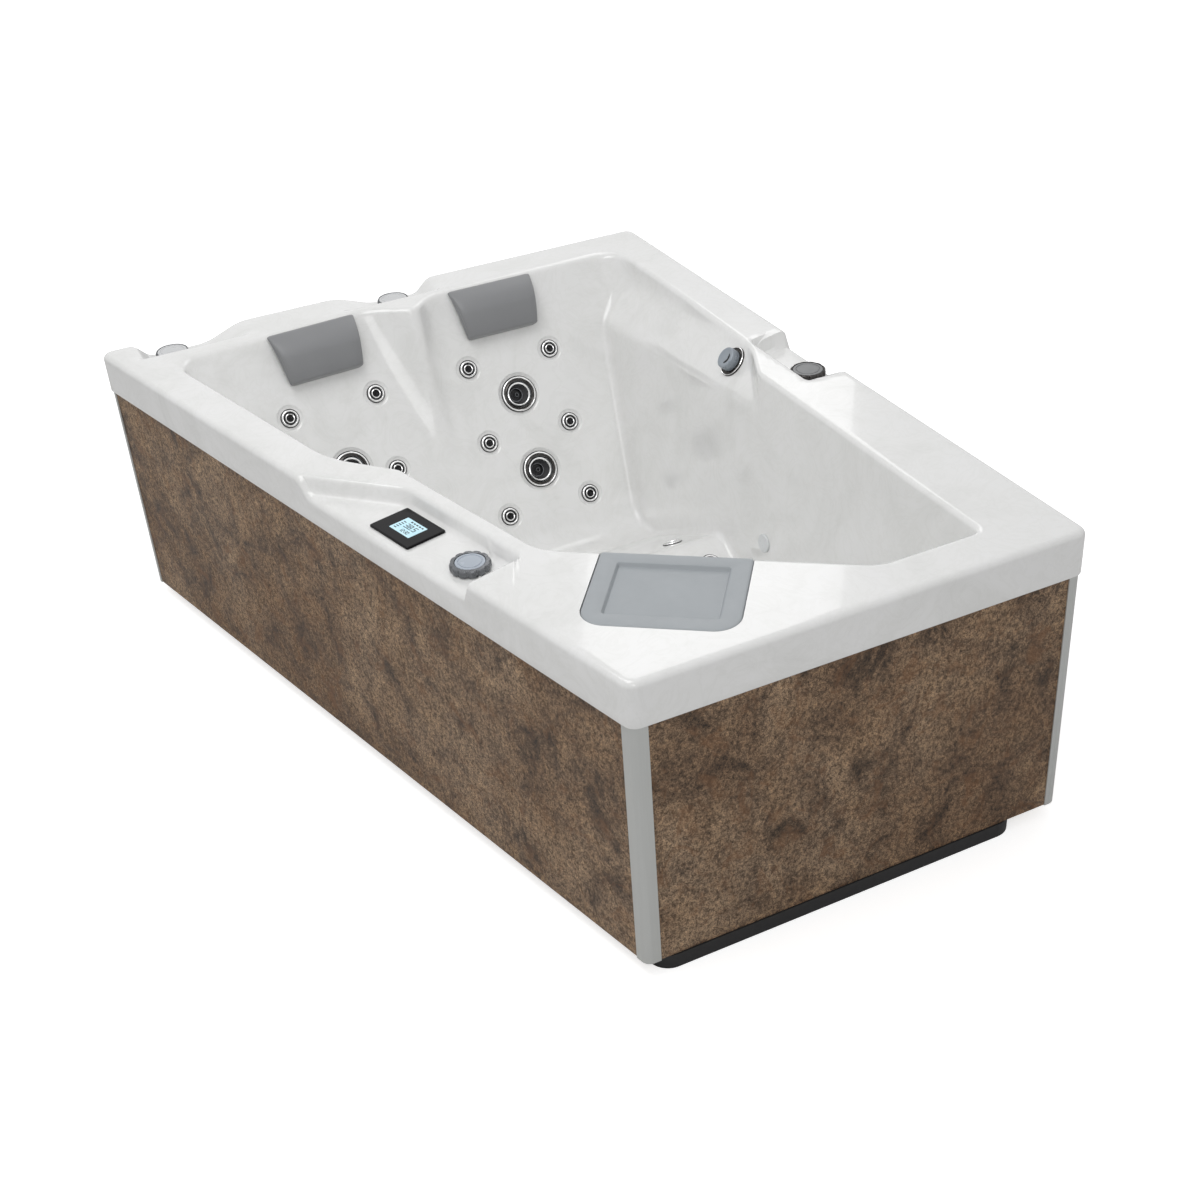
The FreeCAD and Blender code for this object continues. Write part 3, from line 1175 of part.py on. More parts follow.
def pump_wet_end():
    """Volute with a suction socket on its axis and a pressure socket on top."""
    start = pump_start()
    end = start - ALONG * WET_END_LENGTH
    centre = start - ALONG * WET_END_LENGTH / 2
    socket = PIPE_RADIUS + SEAT_GAP
    bore = PIPE_RADIUS - PIPE_WALL
    body = cylinder(WET_END_RADIUS, WET_END_LENGTH, end, ALONG)
    body = body.fuse(tube(socket + SOCKET_WALL, socket, SOCKET_LENGTH, end - ALONG * SOCKET_LENGTH, ALONG))
    body = body.fuse(cylinder(socket + SOCKET_WALL, WET_END_RADIUS + SOCKET_LENGTH, centre))
    body = body.cut(cylinder(socket, BIG, centre + UP * (WET_END_RADIUS - SOCKET_DEPTH)))
    body = body.cut(cylinder(bore, WET_END_RADIUS, centre))
    body = body.cut(cylinder(bore, WET_END_LENGTH / 2, end - ALONG * CUT, ALONG))
    body = body.cut(cylinder(WET_END_RADIUS - WET_END_WALL, WET_END_LENGTH - 2 * WET_END_WALL,
                             end + ALONG * WET_END_WALL, ALONG))
    return body.cut(cylinder(SHAFT_RADIUS + SHAFT_CLEARANCE, WET_END_LENGTH, centre, ALONG))


def pump_impeller():
    start = pump_start()
    eye = start - ALONG * (WET_END_LENGTH + IMPELLER_LENGTH) / 2
    body = cylinder(IMPELLER_RADIUS, IMPELLER_LENGTH, eye, ALONG)
    length = SHAFT_LENGTH + (WET_END_LENGTH + IMPELLER_LENGTH) / 2
    return body.fuse(cylinder(SHAFT_RADIUS, length - CUT, eye + ALONG * CUT, ALONG))


def pipe_run(points, radius, bend):
    """Round bar along straight runs that are joined by tangent bends."""
    edges = []
    start = points[0]
    for before, corner, after in zip(points, points[1:], points[2:]):
        back = (before - corner).normalize()
        on = (after - corner).normalize()
        half = back.getAngle(on) / 2
        reach = bend / math.tan(half)
        middle = corner + (back + on).normalize() * (bend / math.sin(half) - bend)
        first, last = corner + back * reach, corner + on * reach
        edges.append(Part.LineSegment(start, first).toShape())
        edges.append(Part.Arc(first, middle, last).toShape())
        start = last
    edges.append(Part.LineSegment(start, points[-1]).toShape())
    outline = Part.Wire(Part.makeCircle(radius, points[0], points[1] - points[0]))
    return Part.Wire(edges).makePipeShell([outline], True, False)


def water_pipe(points, radius=PIPE_RADIUS):
    return pipe_run(points, radius, PIPE_BEND), pipe_run(points, radius - PIPE_WALL, PIPE_BEND)


def suction_pipes():
    """Header from both suction covers and the canister to the pump's inlet."""
    inlet = pump_start() - ALONG * WET_END_LENGTH
    elbow = inlet - ALONG * ELBOW_RUN
    start = (elbow - DIAGONAL_START).dot(ALONG)
    header = [along_lid(start, SUCTION_ACROSS, SUCTION_LEVEL),
              along_lid(SUCTION_END, SUCTION_ACROSS, SUCTION_LEVEL)]
    pipe, bore = water_pipe([inlet - ALONG * SEAT_GAP, elbow] + header)
    middle = well_middle()
    outlet = CANISTER_FLOOR - SEAT_GAP
    level = outlet - CANISTER_DROP
    branch, branch_bore = water_pipe([vec(middle.x, middle.y, outlet), vec(middle.x, middle.y, level),
                                      along_lid(MOUTH_MIDDLE, SUCTION_ACROSS, level),
                                      along_lid(MOUTH_MIDDLE, SUCTION_ACROSS, SUCTION_LEVEL)],
                                     BRANCH_RADIUS)
    pipe = pipe.fuse(branch)
    bore = bore.fuse(branch_bore)
    for frame in suction_frames():
        axis = axis_of(frame)
        tail = frame.Base - axis * (SUCTION_TAIL + SEAT_GAP)
        pipe = pipe.fuse(cylinder(BRANCH_RADIUS, SUCTION_BRANCH, tail, axis * -1))
        bore = bore.fuse(cylinder(BRANCH_RADIUS - PIPE_WALL, SUCTION_BRANCH, tail, axis * -1))
    return pipe.cut(bore)


def jet_tail(frame, is_big):
    """End of a jet body's hose tail."""
    depth = BIG_RECESS_DEPTH if is_big else SMALL_RECESS_DEPTH
    length = BIG_BODY_LENGTH if is_big else BODY_LENGTH
    return frame.Base - axis_of(frame) * (depth + length + TAIL_LENGTH)


def pressure_pipe():
    """From the pump's outlet round the foot end to the heater."""
    port = pump_start() - ALONG * WET_END_LENGTH / 2 + UP * (WET_END_RADIUS - SOCKET_DEPTH + SEAT_GAP)
    heater_end = vec(HEATER_X + HEATER_LENGTH + SEAT_GAP, HEATER_Y, HEATER_LEVEL)
    line = [port, vec(port.x, port.y, PRESSURE_LEVEL),
            vec(PRESSURE_X, port.y + PRESSURE_STEP, PRESSURE_LEVEL),
            vec(PRESSURE_X, HEATER_Y, PRESSURE_LEVEL), vec(PRESSURE_X, HEATER_Y, HEATER_LEVEL),
            heater_end]
    pipe, bore = water_pipe(line)
    return pipe.cut(bore)


def jet_pipes():
    """From the heater to the manifold behind the seats, and a hose to every jet."""
    line = [vec(HEATER_X - SEAT_GAP, HEATER_Y, HEATER_LEVEL), vec(MANIFOLD_X, HEATER_Y, HEATER_LEVEL),
            vec(MANIFOLD_X, MANIFOLD_END_Y, HEATER_LEVEL)]
    pipe, bore = water_pipe(line)
    for frame, is_big in jet_places():
        axis = axis_of(frame)
        tail = jet_tail(frame, is_big) - axis * SEAT_GAP
        lead = tail - axis * HOSE_LEAD
        line = [tail, lead, vec(MANIFOLD_X, lead.y, HEATER_LEVEL)]
        pipe = pipe.fuse(pipe_run(line, HOSE_RADIUS, HOSE_BEND))
        bore = bore.fuse(pipe_run(line, HOSE_RADIUS - BODY_WALL, HOSE_BEND))
    stay = HALF - RAIL_INSET - RAIL_WIDTH - SEAT_GAP + MANIFOLD_X
    for y in HEAD_STUD_Y:
        pipe = pipe.fuse(Part.makeBox(stay, RAIL_WIDTH, CLAMP_HEIGHT,
                                      vec(MANIFOLD_X - stay, y - RAIL_WIDTH / 2,
                                          HEATER_LEVEL - CLAMP_HEIGHT / 2)))
    return pipe.cut(bore)


def heater():
    """Flow heater: a tube with flanged ends on two saddles."""
    run = vec(1, 0, 0)
    base = vec(HEATER_X, HEATER_Y, HEATER_LEVEL)
    bore = HEATER_RADIUS - HEATER_WALL
    body = tube(HEATER_RADIUS, bore, HEATER_LENGTH, base, run)
    for x in (HEATER_X, HEATER_X + HEATER_LENGTH - HEATER_FLANGE):
        flange = tube(HEATER_RADIUS + HEATER_FLANGE, bore, HEATER_FLANGE,
                      vec(x, HEATER_Y, HEATER_LEVEL), run)
        body = body.fuse(flange)
    foot = FLOOR_LEVEL - SHELL_WALL
    for x in HEATER_BEARER_X:
        saddle = Part.makeBox(SADDLE[0], SADDLE[1], HEATER_LEVEL - foot,
                              vec(x - SADDLE[0] / 2, HEATER_Y - SADDLE[1] / 2, foot))
        body = body.fuse(saddle.cut(cylinder(HEATER_RADIUS - HEATER_WALL / 2, HEATER_LENGTH, base, run)))
    return body


def control_box():
    """Closed box on the back studs, with a parting groove round its lid."""
    back = BACK_Y - RAIL_INSET - RAIL_WIDTH - SEAT_GAP
    front = back - CONTROL_WIDTH
    body = Part.makeBox(CONTROL_LENGTH, CONTROL_WIDTH, CONTROL_HEIGHT, vec(CONTROL_X, front, CONTROL_LEVEL))
    body = body.makeFillet(CONTROL_RADIUS, upright_edges(body))
    groove = Part.makeBox(BIG, GROOVE, BIG, vec(-HALF, front + CONTROL_LID, 0))
    kept = Part.makeBox(CONTROL_LENGTH - 2 * GROOVE, CONTROL_WIDTH, CONTROL_HEIGHT - 2 * GROOVE,
                        vec(CONTROL_X + GROOVE, front, CONTROL_LEVEL + GROOVE))
    return body.cut(groove.cut(kept))


# ---------------------------------------------------------------- write every piece
SIDES = ["front", "foot", "back", "head"]
save("tub_shell", tub_shell())
save("base_pan", base_pan())
save("pan_skids", pan_skids())
save("lower_frame", lower_frame())
save("studs", group(studs(0)))
save("noggins", noggins())
for i, side in enumerate(SIDES):
    save("panel_" + side, side_panel(i))
for i, corner in enumerate(["left", "near", "right", "far"]):
    save("corner_post_" + corner, corner_post(i))
for is_left, side in ((True, "left"), (False, "right")):
    save("pillow_" + side, pillow(is_left))
    save("pillow_pins_" + side, pillow_pins(is_left))
save("display_bezel", display_bezel())
save("display_screen", display_screen())
save("display_housing", display_housing())
save("filter_lid", filter_lid())
save("filter_housing", filter_housing())
save("filter_cartridge", filter_cartridge())
save("weir_flap", weir_flap())
save("weir_pin", weir_pin())
for cap_name, cap_place in cap_places():
    save(cap_name, cap_knob(cap_place))
save("valve_bodies", valve_bodies())
save("wall_knob_ring", wall_knob_ring())
save("wall_knob", wall_knob())
small_count, big_count = 0, 0
for jet_frame, jet_is_big in jet_places():
    if jet_is_big:
        big_count += 1
        save("big_jet_ring_%d" % big_count, jet_ring(jet_frame, True))
        save("big_jet_rotor_%d" % big_count, jet_rotor(jet_frame))
    else:
        small_count += 1
        save("jet_ring_%02d" % small_count, jet_ring(jet_frame, False))
save("jet_nozzles", group([jet_nozzle(f) for f, is_big in jet_places() if not is_big]))
save("jet_bodies", group([jet_body(f, is_big) for f, is_big in jet_places()]))
save("light_lens", light_lens())
save("suction_covers", suction_covers())
save("pump_motor", pump_motor())
save("pump_wet_end", pump_wet_end())
save("pump_impeller", pump_impeller())
save("suction_pipes", suction_pipes())
save("pressure_pipes", group([pressure_pipe(), jet_pipes()]))
save("heater", heater())
save("control_box", control_box())
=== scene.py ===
import json
import math

import bpy
import numpy as np
from mathutils import Matrix, Vector


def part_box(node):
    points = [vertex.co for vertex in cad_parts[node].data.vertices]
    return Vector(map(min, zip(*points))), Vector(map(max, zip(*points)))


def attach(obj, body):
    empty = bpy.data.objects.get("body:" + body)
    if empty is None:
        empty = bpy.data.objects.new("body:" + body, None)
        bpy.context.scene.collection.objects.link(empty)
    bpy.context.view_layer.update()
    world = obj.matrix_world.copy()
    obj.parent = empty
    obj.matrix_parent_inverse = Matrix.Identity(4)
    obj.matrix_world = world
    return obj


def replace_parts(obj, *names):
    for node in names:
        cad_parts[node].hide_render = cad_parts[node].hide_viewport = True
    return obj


# Two-person jetted bathtub: moulded acrylic shell, stone-look cabinet, jets, caps and pillows.
# Metres, +Z up, -X the head end with the pillows, -Y the slanted front side.

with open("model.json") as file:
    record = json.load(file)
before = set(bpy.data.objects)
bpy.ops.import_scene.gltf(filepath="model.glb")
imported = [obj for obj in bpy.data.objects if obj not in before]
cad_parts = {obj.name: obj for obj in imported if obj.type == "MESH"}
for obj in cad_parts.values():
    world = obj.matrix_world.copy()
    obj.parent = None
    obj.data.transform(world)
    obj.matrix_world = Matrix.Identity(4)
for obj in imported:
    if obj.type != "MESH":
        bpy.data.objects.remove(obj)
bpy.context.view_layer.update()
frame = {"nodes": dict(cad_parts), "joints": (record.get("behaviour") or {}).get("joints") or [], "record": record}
RECORD = frame["record"]
JOINTS = {joint["name"]: joint for joint in frame["joints"]}
SHELL_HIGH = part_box("tub_shell")[1]

# ---------------------------------------------------------------- the tub's own sizes
HEIGHT = SHELL_HIGH.z
LIP_BOTTOM = 0.667
HALF = SHELL_HIGH.x
BACK_Y = SHELL_HIGH.y
HEAD_WIDTH = 1.650
FOOT_WIDTH = 1.085
RIM_CORNER = 0.030
RIM_EDGE = 0.016
LIP_WALL = 0.008
HEAD_DECK = 0.140
BACK_DECK = 0.195
RECESS_DECK = 0.118
FOOT_DECK = 0.118
FRONT_DECK = 0.110
SHELF_DECK = 0.196
FLOOR = 0.085
SEAT_TILT = 30.0
LEFT_TURN = 4.0
LEFT_START = -0.091
DRAFT = 6.0
RECESS_DRAFT = 2.0
BACK_DRAFT = 7.0
DIAGONAL_X = 0.532
DIAGONAL_ANGLE = 53.6
JOG_X = -0.123
JOG_ANGLE = 40.7
HUMP_X = -0.060
HUMP_HEIGHT = 0.185
HUMP_RISE = 0.370
HUMP_FALL = 0.410
RIDGE_Y = 0.026
RIDGE_REACH = 0.077
RIDGE_LEFT = 0.117
RIDGE_RIGHT = 0.075
RIDGE_DROP = 0.370
FACET_TILT = 50.0
FACET_TURN = 4.1
RECESS_END_X = -0.139
RECESS_END_RUN = 0.172
POCKET_FLOOR = 0.735
CAP_RADIUS = 0.046
CAP_HEIGHT = 0.018
CAP_LIFT = 0.001
LID_START = 0.133
LID_LENGTH = 0.326
LID_WIDTH = 0.276
LID_THICKNESS = 0.012
LID_NEAR = 0.055
LID_FAR = 0.010
SEAT_GAP = 0.0003

FRONT_ANGLE = math.atan2(HEAD_WIDTH - FOOT_WIDTH, 2 * HALF)
FRONT_Y = BACK_Y - HEAD_WIDTH
HEAD_EDGE = -HALF + HEAD_DECK
FRONT_RUN = np.array([math.cos(FRONT_ANGLE), math.sin(FRONT_ANGLE), 0.0])
FRONT_IN = np.array([-math.sin(FRONT_ANGLE), math.cos(FRONT_ANGLE), 0.0])
UP = np.array([0.0, 0.0, 1.0])


def turned(degrees, tilt=0.0):
    """Unit vector at an angle about Z from +X, raised by tilt degrees."""
    a, t = math.radians(degrees), math.radians(tilt)
    return np.array([math.cos(a) * math.cos(t), math.sin(a) * math.cos(t), math.sin(t)])


def unit(vector):
    """Vector of length 1 in the same direction."""
    vector = np.asarray(vector, float)
    return vector / np.linalg.norm(vector)


def front_point(x, inset):
    """Point at rim height on the front side at x, moved inwards from the rim's edge."""
    start = np.array([x, FRONT_Y + (x + HALF) * math.tan(FRONT_ANGLE), HEIGHT])
    return start + FRONT_IN * inset


def front_level(x, inset):
    """The point at x on the line that runs along the front side at an inset."""
    y = FRONT_Y + (x + HALF) * math.tan(FRONT_ANGLE) + inset / math.cos(FRONT_ANGLE)
    return np.array([x, y, HEIGHT])


DIAGONAL_START = front_level(DIAGONAL_X, SHELF_DECK)
ALONG = turned(DIAGONAL_ANGLE)
ACROSS = turned(DIAGONAL_ANGLE - 90.0)


# ---------------------------------------------------------------- meshes from arrays
def ring_faces(rows, columns):
    """Quads of a grid whose columns close round; each joins two neighbours in two rows."""
    r, c = np.meshgrid(np.arange(rows - 1), np.arange(columns), indexing="ij")
    n = (c + 1) % columns
    quads = np.stack([r * columns + c, r * columns + n, (r + 1) * columns + n, (r + 1) * columns + c], -1)
    return quads.reshape(-1, 4)


def closed_grid(points):
    """Vertices and faces of a grid that closes round, with a point in the middle of each end."""
    rows, columns = points.shape[:2]
    ends = np.stack([points[0].mean(0), points[-1].mean(0)])
    c = np.arange(columns)
    n = (c + 1) % columns
    middle, last = rows * columns, (rows - 1) * columns
    low = np.stack([n, c, np.full(columns, middle)], 1)
    high = np.stack([c + last, n + last, np.full(columns, middle + 1)], 1)
    faces = ring_faces(rows, columns).tolist() + low.tolist() + high.tolist()
    return np.concatenate([points.reshape(-1, 3), ends]), faces


def torus_grid(points):
    """Vertices and faces of a grid that closes round both ways."""
    rows, columns = points.shape[:2]
    faces = ring_faces(rows + 1, columns)
    return points.reshape(-1, 3), (faces % (rows * columns)).tolist()


def piece(name, parts, material, body, sharp=None):
    """One smooth-shaded object from (vertices, faces) parts, in place, riding on its body."""
    vertices, faces, first = [], [], 0
    for points, part_faces in parts:
        vertices.append(points)
        faces += [[i + first for i in face] for face in part_faces]
        first += len(points)
    mesh = bpy.data.meshes.new(name)
    mesh.from_pydata(np.concatenate(vertices).tolist(), [], faces)
    return dress(name, mesh, material, body, sharp)


def dress(name, mesh, material, body, sharp=None):
    """Object from a finished mesh: shading, material and body."""
    mesh.update()
    mesh.polygons.foreach_set("use_smooth", np.ones(len(mesh.polygons), bool))
    if sharp is not None:
        mesh.set_sharp_from_angle(angle=math.radians(sharp))
    thing = bpy.data.objects.new(name, mesh)
    bpy.context.scene.collection.objects.link(thing)
    mesh.materials.append(material)
    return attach(thing, body)


def placed(local, origin, x_axis, z_axis):
    """Points given along a local X, Y and Z, moved to the tub's frame."""
    z = unit(z_axis)
    y = unit(np.cross(z, x_axis))
    x = np.cross(y, z)
    return np.asarray(origin) + local @ np.stack([x, y, z])


def lathe(profile, columns, wave=None):
    """Profile of (radius, height) turned about Z: x = r cos a, y = r sin a, z = h.
    wave(angle, row) may scale the radius."""
    profile = np.asarray(profile, float)
    angle = np.linspace(0, 2 * math.pi, columns, endpoint=False)
    radius = profile[:, :1] * (wave(angle, len(profile)) if wave else 1.0)
    height = np.repeat(profile[:, 1:], columns, 1)
    return np.stack([radius * np.cos(angle), radius * np.sin(angle), height], -1)


def turned_ring(profile, columns, origin, axis, start=(0, 1, 0)):
    """Closed ring turned from its profile about an axis, with angle 0 towards start."""
    return torus_grid(placed(lathe(profile, columns), origin, start, axis)[::-1])


def turned_plug(profile, columns, origin, axis, start=(0, 1, 0), wave=None):
    """Piece turned from its profile about an axis and closed in the middle of both ends."""
    return closed_grid(placed(lathe(profile, columns, wave), origin, start, axis))


def rectangle(x, y):
    """Plan corners, anticlockwise, of a rectangle between two limits each way."""
    return [(x[0], y[0]), (x[1], y[0]), (x[1], y[1]), (x[0], y[1])]


def rounded_ring(corners, radii, samples):
    """Plan ring of a polygon whose corners are arcs: centre + r (cos a, sin a) from side to side."""
    corners = np.asarray(corners, float)
    rings = []
    for i, corner in enumerate(corners):
        before, after = unit(corners[i - 1] - corner), unit(corners[(i + 1) % len(corners)] - corner)
        half = math.acos(np.clip(before @ after, -1, 1)) / 2
        centre = corner + unit(before + after) * radii[i] / math.sin(half)
        first = centre - corner - before * ((centre - corner) @ before)
        last = centre - corner - after * ((centre - corner) @ after)
        a = math.atan2(-first[1], -first[0])
        sweep = (math.atan2(-last[1], -last[0]) - a + math.pi) % (2 * math.pi) - math.pi
        angle = a + np.linspace(0, 1, samples) * sweep
        rings.append(centre + radii[i] * np.stack([np.cos(angle), np.sin(angle)], 1))
    return np.concatenate(rings)


def stacked(rings, levels):
    """Rows of a plate: plan rings, each at its own height."""
    return np.stack([np.column_stack([ring, np.full(len(ring), z)]) for ring, z in zip(rings, levels)])


# ---------------------------------------------------------------- the moulded shell as distances
# Creases and corners between walls, then the blends where fillers stand into the basin.
SEAT_CREASE = 0.001
WALL_CORNER = 0.075
JOG_CORNER = 0.10
FLOOR_BLEND = 0.045
FACET_BLEND = 0.012
BACK_BLEND = 0.009
RIDGE_CREST = 0.030
HUMP_CREST = 0.090
SHELF_FOOT, BACK_FOOT, RIDGE_FOOT, HUMP_FOOT = 0.022, 0.022, 0.030, 0.020
POCKET_WIDTH = 0.112
POCKET_LEAN = 0.22
POCKET_EDGE = 0.010
RAMP_EDGE = 0.004
# Rim pockets: where each starts along its side, then its near ramp, flat floor and far ramp.
HEAD_POCKETS = [(-0.733, 0.039, 0.162, 0.100), (-0.144, 0.111, 0.134, 0.041)]
BACK_POCKET = (-0.144, 0.012, 0.236, 0.036)
SHELF_START_X, SHELF_TURN_X, SHELF_END_X = -0.089, 0.129, 0.575
SHELF_WIDTH = 0.155
SHELF_LEAN, SHELF_END_LEAN = 0.35, 0.08
SHELF_EDGE, SHELF_END_EDGE = 0.012, 0.020


def beyond(p, point, outward):
    """Distance past a plane: positive in the solid, negative in the air."""
    return (p - point) @ outward


def round_max(a, b, r):
    """The larger distance, with the two surfaces' meeting rounded over r."""
    return np.minimum(-r, np.maximum(a, b)) + np.hypot(np.maximum(a + r, 0), np.maximum(b + r, 0))


def round_min(a, b, r):
    """The smaller distance, with the meeting rounded over r."""
    return -round_max(-a, -b, r)


def fillet(radius, turn):
    """The rounding that gives a fillet of this radius between planes that turn by an angle."""
    return radius * (1 - math.cos(math.radians(turn) / 2)) / (1 - math.cos(math.pi / 4))


def hollow(p):
    """Distance outside the basin's hollow: walls and floor, then the bodies that stand into it."""
    seat = turned(0, SEAT_TILT)
    left = np.array([seat[0] * math.cos(math.radians(LEFT_TURN)),
                     seat[0] * math.sin(math.radians(LEFT_TURN)), seat[2]])
    heading = math.degrees(FRONT_ANGLE) - 90.0
    seats = round_max(beyond(p, (HEAD_EDGE, 0, HEIGHT), -seat),
                      beyond(p, (HEAD_EDGE, LEFT_START, HEIGHT), -left), SEAT_CREASE)
    recess = beyond(p, (0, BACK_Y - RECESS_DECK, HEIGHT), turned(90, -RECESS_DRAFT))
    foot = beyond(p, (HALF - FOOT_DECK, 0, HEIGHT), turned(0, -DRAFT))
    diagonal = beyond(p, DIAGONAL_START, turned(DIAGONAL_ANGLE - 90, -DRAFT))
    front = beyond(p, front_point(0, FRONT_DECK), turned(heading, -DRAFT))
    far = round_max(foot, recess, fillet(WALL_CORNER, 90))
    near = round_max(diagonal, front, fillet(WALL_CORNER, 39))
    walls = round_max(round_max(far, near, fillet(WALL_CORNER, 37)), seats, fillet(WALL_CORNER, 95))
    body = round_max(walls, FLOOR - p[..., 2], FLOOR_BLEND)
    for filler, blend in fillers(p, heading):
        body = round_max(body, filler, blend)
    return body


def fillers(p, heading):
    """Shelf side, back wall with its sloping facet, ridge between the seats and knee hump."""
    shelf = round_min(beyond(p, front_point(0, SHELF_DECK), turned(heading, -DRAFT)),
                      beyond(p, front_level(JOG_X, FRONT_DECK), turned(JOG_ANGLE - 90, -DRAFT)),
                      fillet(JOG_CORNER, 26))
    facet_top = np.array([RECESS_END_X, BACK_Y - RECESS_DECK, HEIGHT])
    end_run = unit([RECESS_END_RUN, RECESS_DECK - BACK_DECK, 0])
    end = beyond(p, facet_top, np.array([-end_run[1], end_run[0], 0]))
    facet = beyond(p, facet_top, -turned(-90 - FACET_TURN, 90 - FACET_TILT))
    back = round_min(beyond(p, (0, BACK_Y - BACK_DECK, HEIGHT), turned(90, -BACK_DRAFT)),
                     round_max(end, facet, FACET_BLEND), BACK_BLEND)
    reach = np.array([HEAD_EDGE + RIDGE_REACH, RIDGE_Y, HEIGHT])
    toe = np.array([HEAD_EDGE + RIDGE_DROP * math.tan(math.radians(SEAT_TILT)), RIDGE_Y,
                    HEIGHT - RIDGE_DROP])
    sides = []
    for side in (-RIDGE_LEFT, RIDGE_RIGHT):
        normal = unit(np.cross(toe - reach, (HEAD_EDGE, RIDGE_Y + side, HEIGHT) - reach))
        sides.append(beyond(p, reach, normal * -np.sign(normal[0])))
    ridge = round_min(sides[0], sides[1], fillet(RIDGE_CREST, 79))
    crest = (HUMP_X, 0, FLOOR + HUMP_HEIGHT)
    hump = round_min(beyond(p, crest, unit([HUMP_HEIGHT, 0, -HUMP_RISE])),
                     beyond(p, crest, unit([-HUMP_HEIGHT, 0, -HUMP_FALL])), fillet(HUMP_CREST, 51))
    return [(shelf, SHELF_FOOT), (back, BACK_FOOT), (ridge, RIDGE_FOOT), (hump, HUMP_FOOT)]


def ramp(s, z, run):
    """Distance below a ramp that falls from the rim to the pocket's floor over a run."""
    depth = HEIGHT - POCKET_FLOOR
    return (-s * depth - (z - HEIGHT) * run) / math.hypot(depth, run)


def rim_pocket(s, inset, z, near, floor, far):
    """Distance outside a pocket that is open to the rim's edge: ramp, floor, ramp and a back wall."""
    wall = ((inset - POCKET_WIDTH) + (HEIGHT - z) * POCKET_LEAN) / math.hypot(1, POCKET_LEAN)
    ends = round_max(ramp(s, z, near), ramp(near + floor + far - s, z, far), RAMP_EDGE)
    return round_max(round_max(ends, wall, POCKET_EDGE), POCKET_FLOOR - z, POCKET_EDGE)


def deck(p):
    """Distance below the rim's face with its four pockets."""
    x, y, z = p[..., 0], p[..., 1], p[..., 2]
    body = HEIGHT - z
    for start, *runs in HEAD_POCKETS:
        body = round_min(body, rim_pocket(y - start, x + HALF, z, *runs), POCKET_EDGE)
    start, *runs = BACK_POCKET
    body = round_min(body, rim_pocket(x - start, BACK_Y - y, z, *runs), POCKET_EDGE)
    return round_min(body, shelf_pocket(x, y, z), POCKET_EDGE)


def shelf_pocket(x, y, z):
    """Distance outside the control shelf: a slanting start, a straight inner wall and an end."""
    run = (x + HALF) * FRONT_RUN[0] + (y - FRONT_Y) * FRONT_RUN[1]
    inset = (x + HALF) * FRONT_IN[0] + (y - FRONT_Y) * FRONT_IN[1]
    start = (SHELF_START_X + HALF) / FRONT_RUN[0]
    turn = (SHELF_TURN_X + HALF + SHELF_WIDTH * FRONT_RUN[1]) / FRONT_RUN[0]
    end = (SHELF_END_X + HALF) / FRONT_RUN[0]
    slant = unit([-SHELF_WIDTH, turn - start])
    drop = HEIGHT - z
    opening = ((run - start) * slant[0] + inset * slant[1] + drop * SHELF_LEAN) / math.hypot(1, SHELF_LEAN)
    wall = (inset - SHELF_WIDTH + drop * SHELF_LEAN) / math.hypot(1, SHELF_LEAN)
    close = (run - end + drop * SHELF_END_LEAN) / math.hypot(1, SHELF_END_LEAN)
    sides = round_max(round_max(opening, wall, SHELF_EDGE), close, SHELF_END_EDGE)
    return round_max(sides, POCKET_FLOOR - z, SHELF_EDGE)


def solve(distance, low, high, steps=26):
    """Halves the interval from air to solid until it closes on the surface, for whole arrays."""
    for _ in range(steps):
        middle = (low + high) / 2
        solid = distance(middle) > 0
        low, high = np.where(solid, low, middle), np.where(solid, middle, high)
    return (low + high) / 2


# ---------------------------------------------------------------- the moulded shell as one grid
COLUMNS = 560
BASIN_ROWS = 84
DECK_ROWS = 30
CENTRE = np.array([-0.05, 0.08, 0.0])
EYE = CENTRE + UP * (HEIGHT + 0.30)
TURN_WEIGHT = 0.12
TOP_EDGE = 0.012
SHELL_WALL = 0.012
CROSS_REACH = 2.2
DECK_LEAD = 0.01
DECK_DEPTH = 0.08
NEAR_REACH = 0.05
RIM_FAR_REACH, OUTER_FAR_REACH = 1.4, 2.0
RIM_START = 0.002
FINE_ANGLES, FINE_SHARES = 4001, 2001


def outline_distance(p):
    """Distance from the rim's plan drawn in by its corner radius, and the direction away from it."""
    plan = [(-HALF, FRONT_Y), (HALF, BACK_Y - FOOT_WIDTH), (HALF, BACK_Y), (-HALF, BACK_Y)]
    inner = drawn_in(plan, RIM_CORNER)
    best = np.full(p.shape[:-1], np.inf)
    away = np.zeros(p.shape[:-1] + (2,))
    outside = np.zeros(p.shape[:-1], bool)
    for a, b in zip(inner, np.roll(inner, -1, 0)):
        run = b - a
        share = np.clip((p[..., :2] - a) @ run / (run @ run), 0, 1)
        gap = p[..., :2] - a - share[..., None] * run
        distance = np.linalg.norm(gap, axis=-1)
        closer = distance < best
        best = np.where(closer, distance, best)
        away = np.where(closer[..., None], gap / np.maximum(distance, 1e-9)[..., None], away)
        outside |= (p[..., :2] - a) @ np.array([run[1], -run[0]]) > 0
    return np.where(outside, best, -1.0), away


def drawn_in(plan, inset):
    """Polygon with every side moved inwards by an inset."""
    plan = np.asarray(plan, float)
    run = np.roll(plan, -1, 0) - plan
    run /= np.linalg.norm(run, axis=1)[:, None]
    start = plan + inset * np.stack([-run[:, 1], run[:, 0]], 1)
    before, back = np.roll(start, 1, 0), np.roll(run, 1, 0)
    gap = start - before
    share = (gap[:, 0] * run[:, 1] - gap[:, 1] * run[:, 0]) / (
        back[:, 0] * run[:, 1] - back[:, 1] * run[:, 0])
    return before + share[:, None] * back


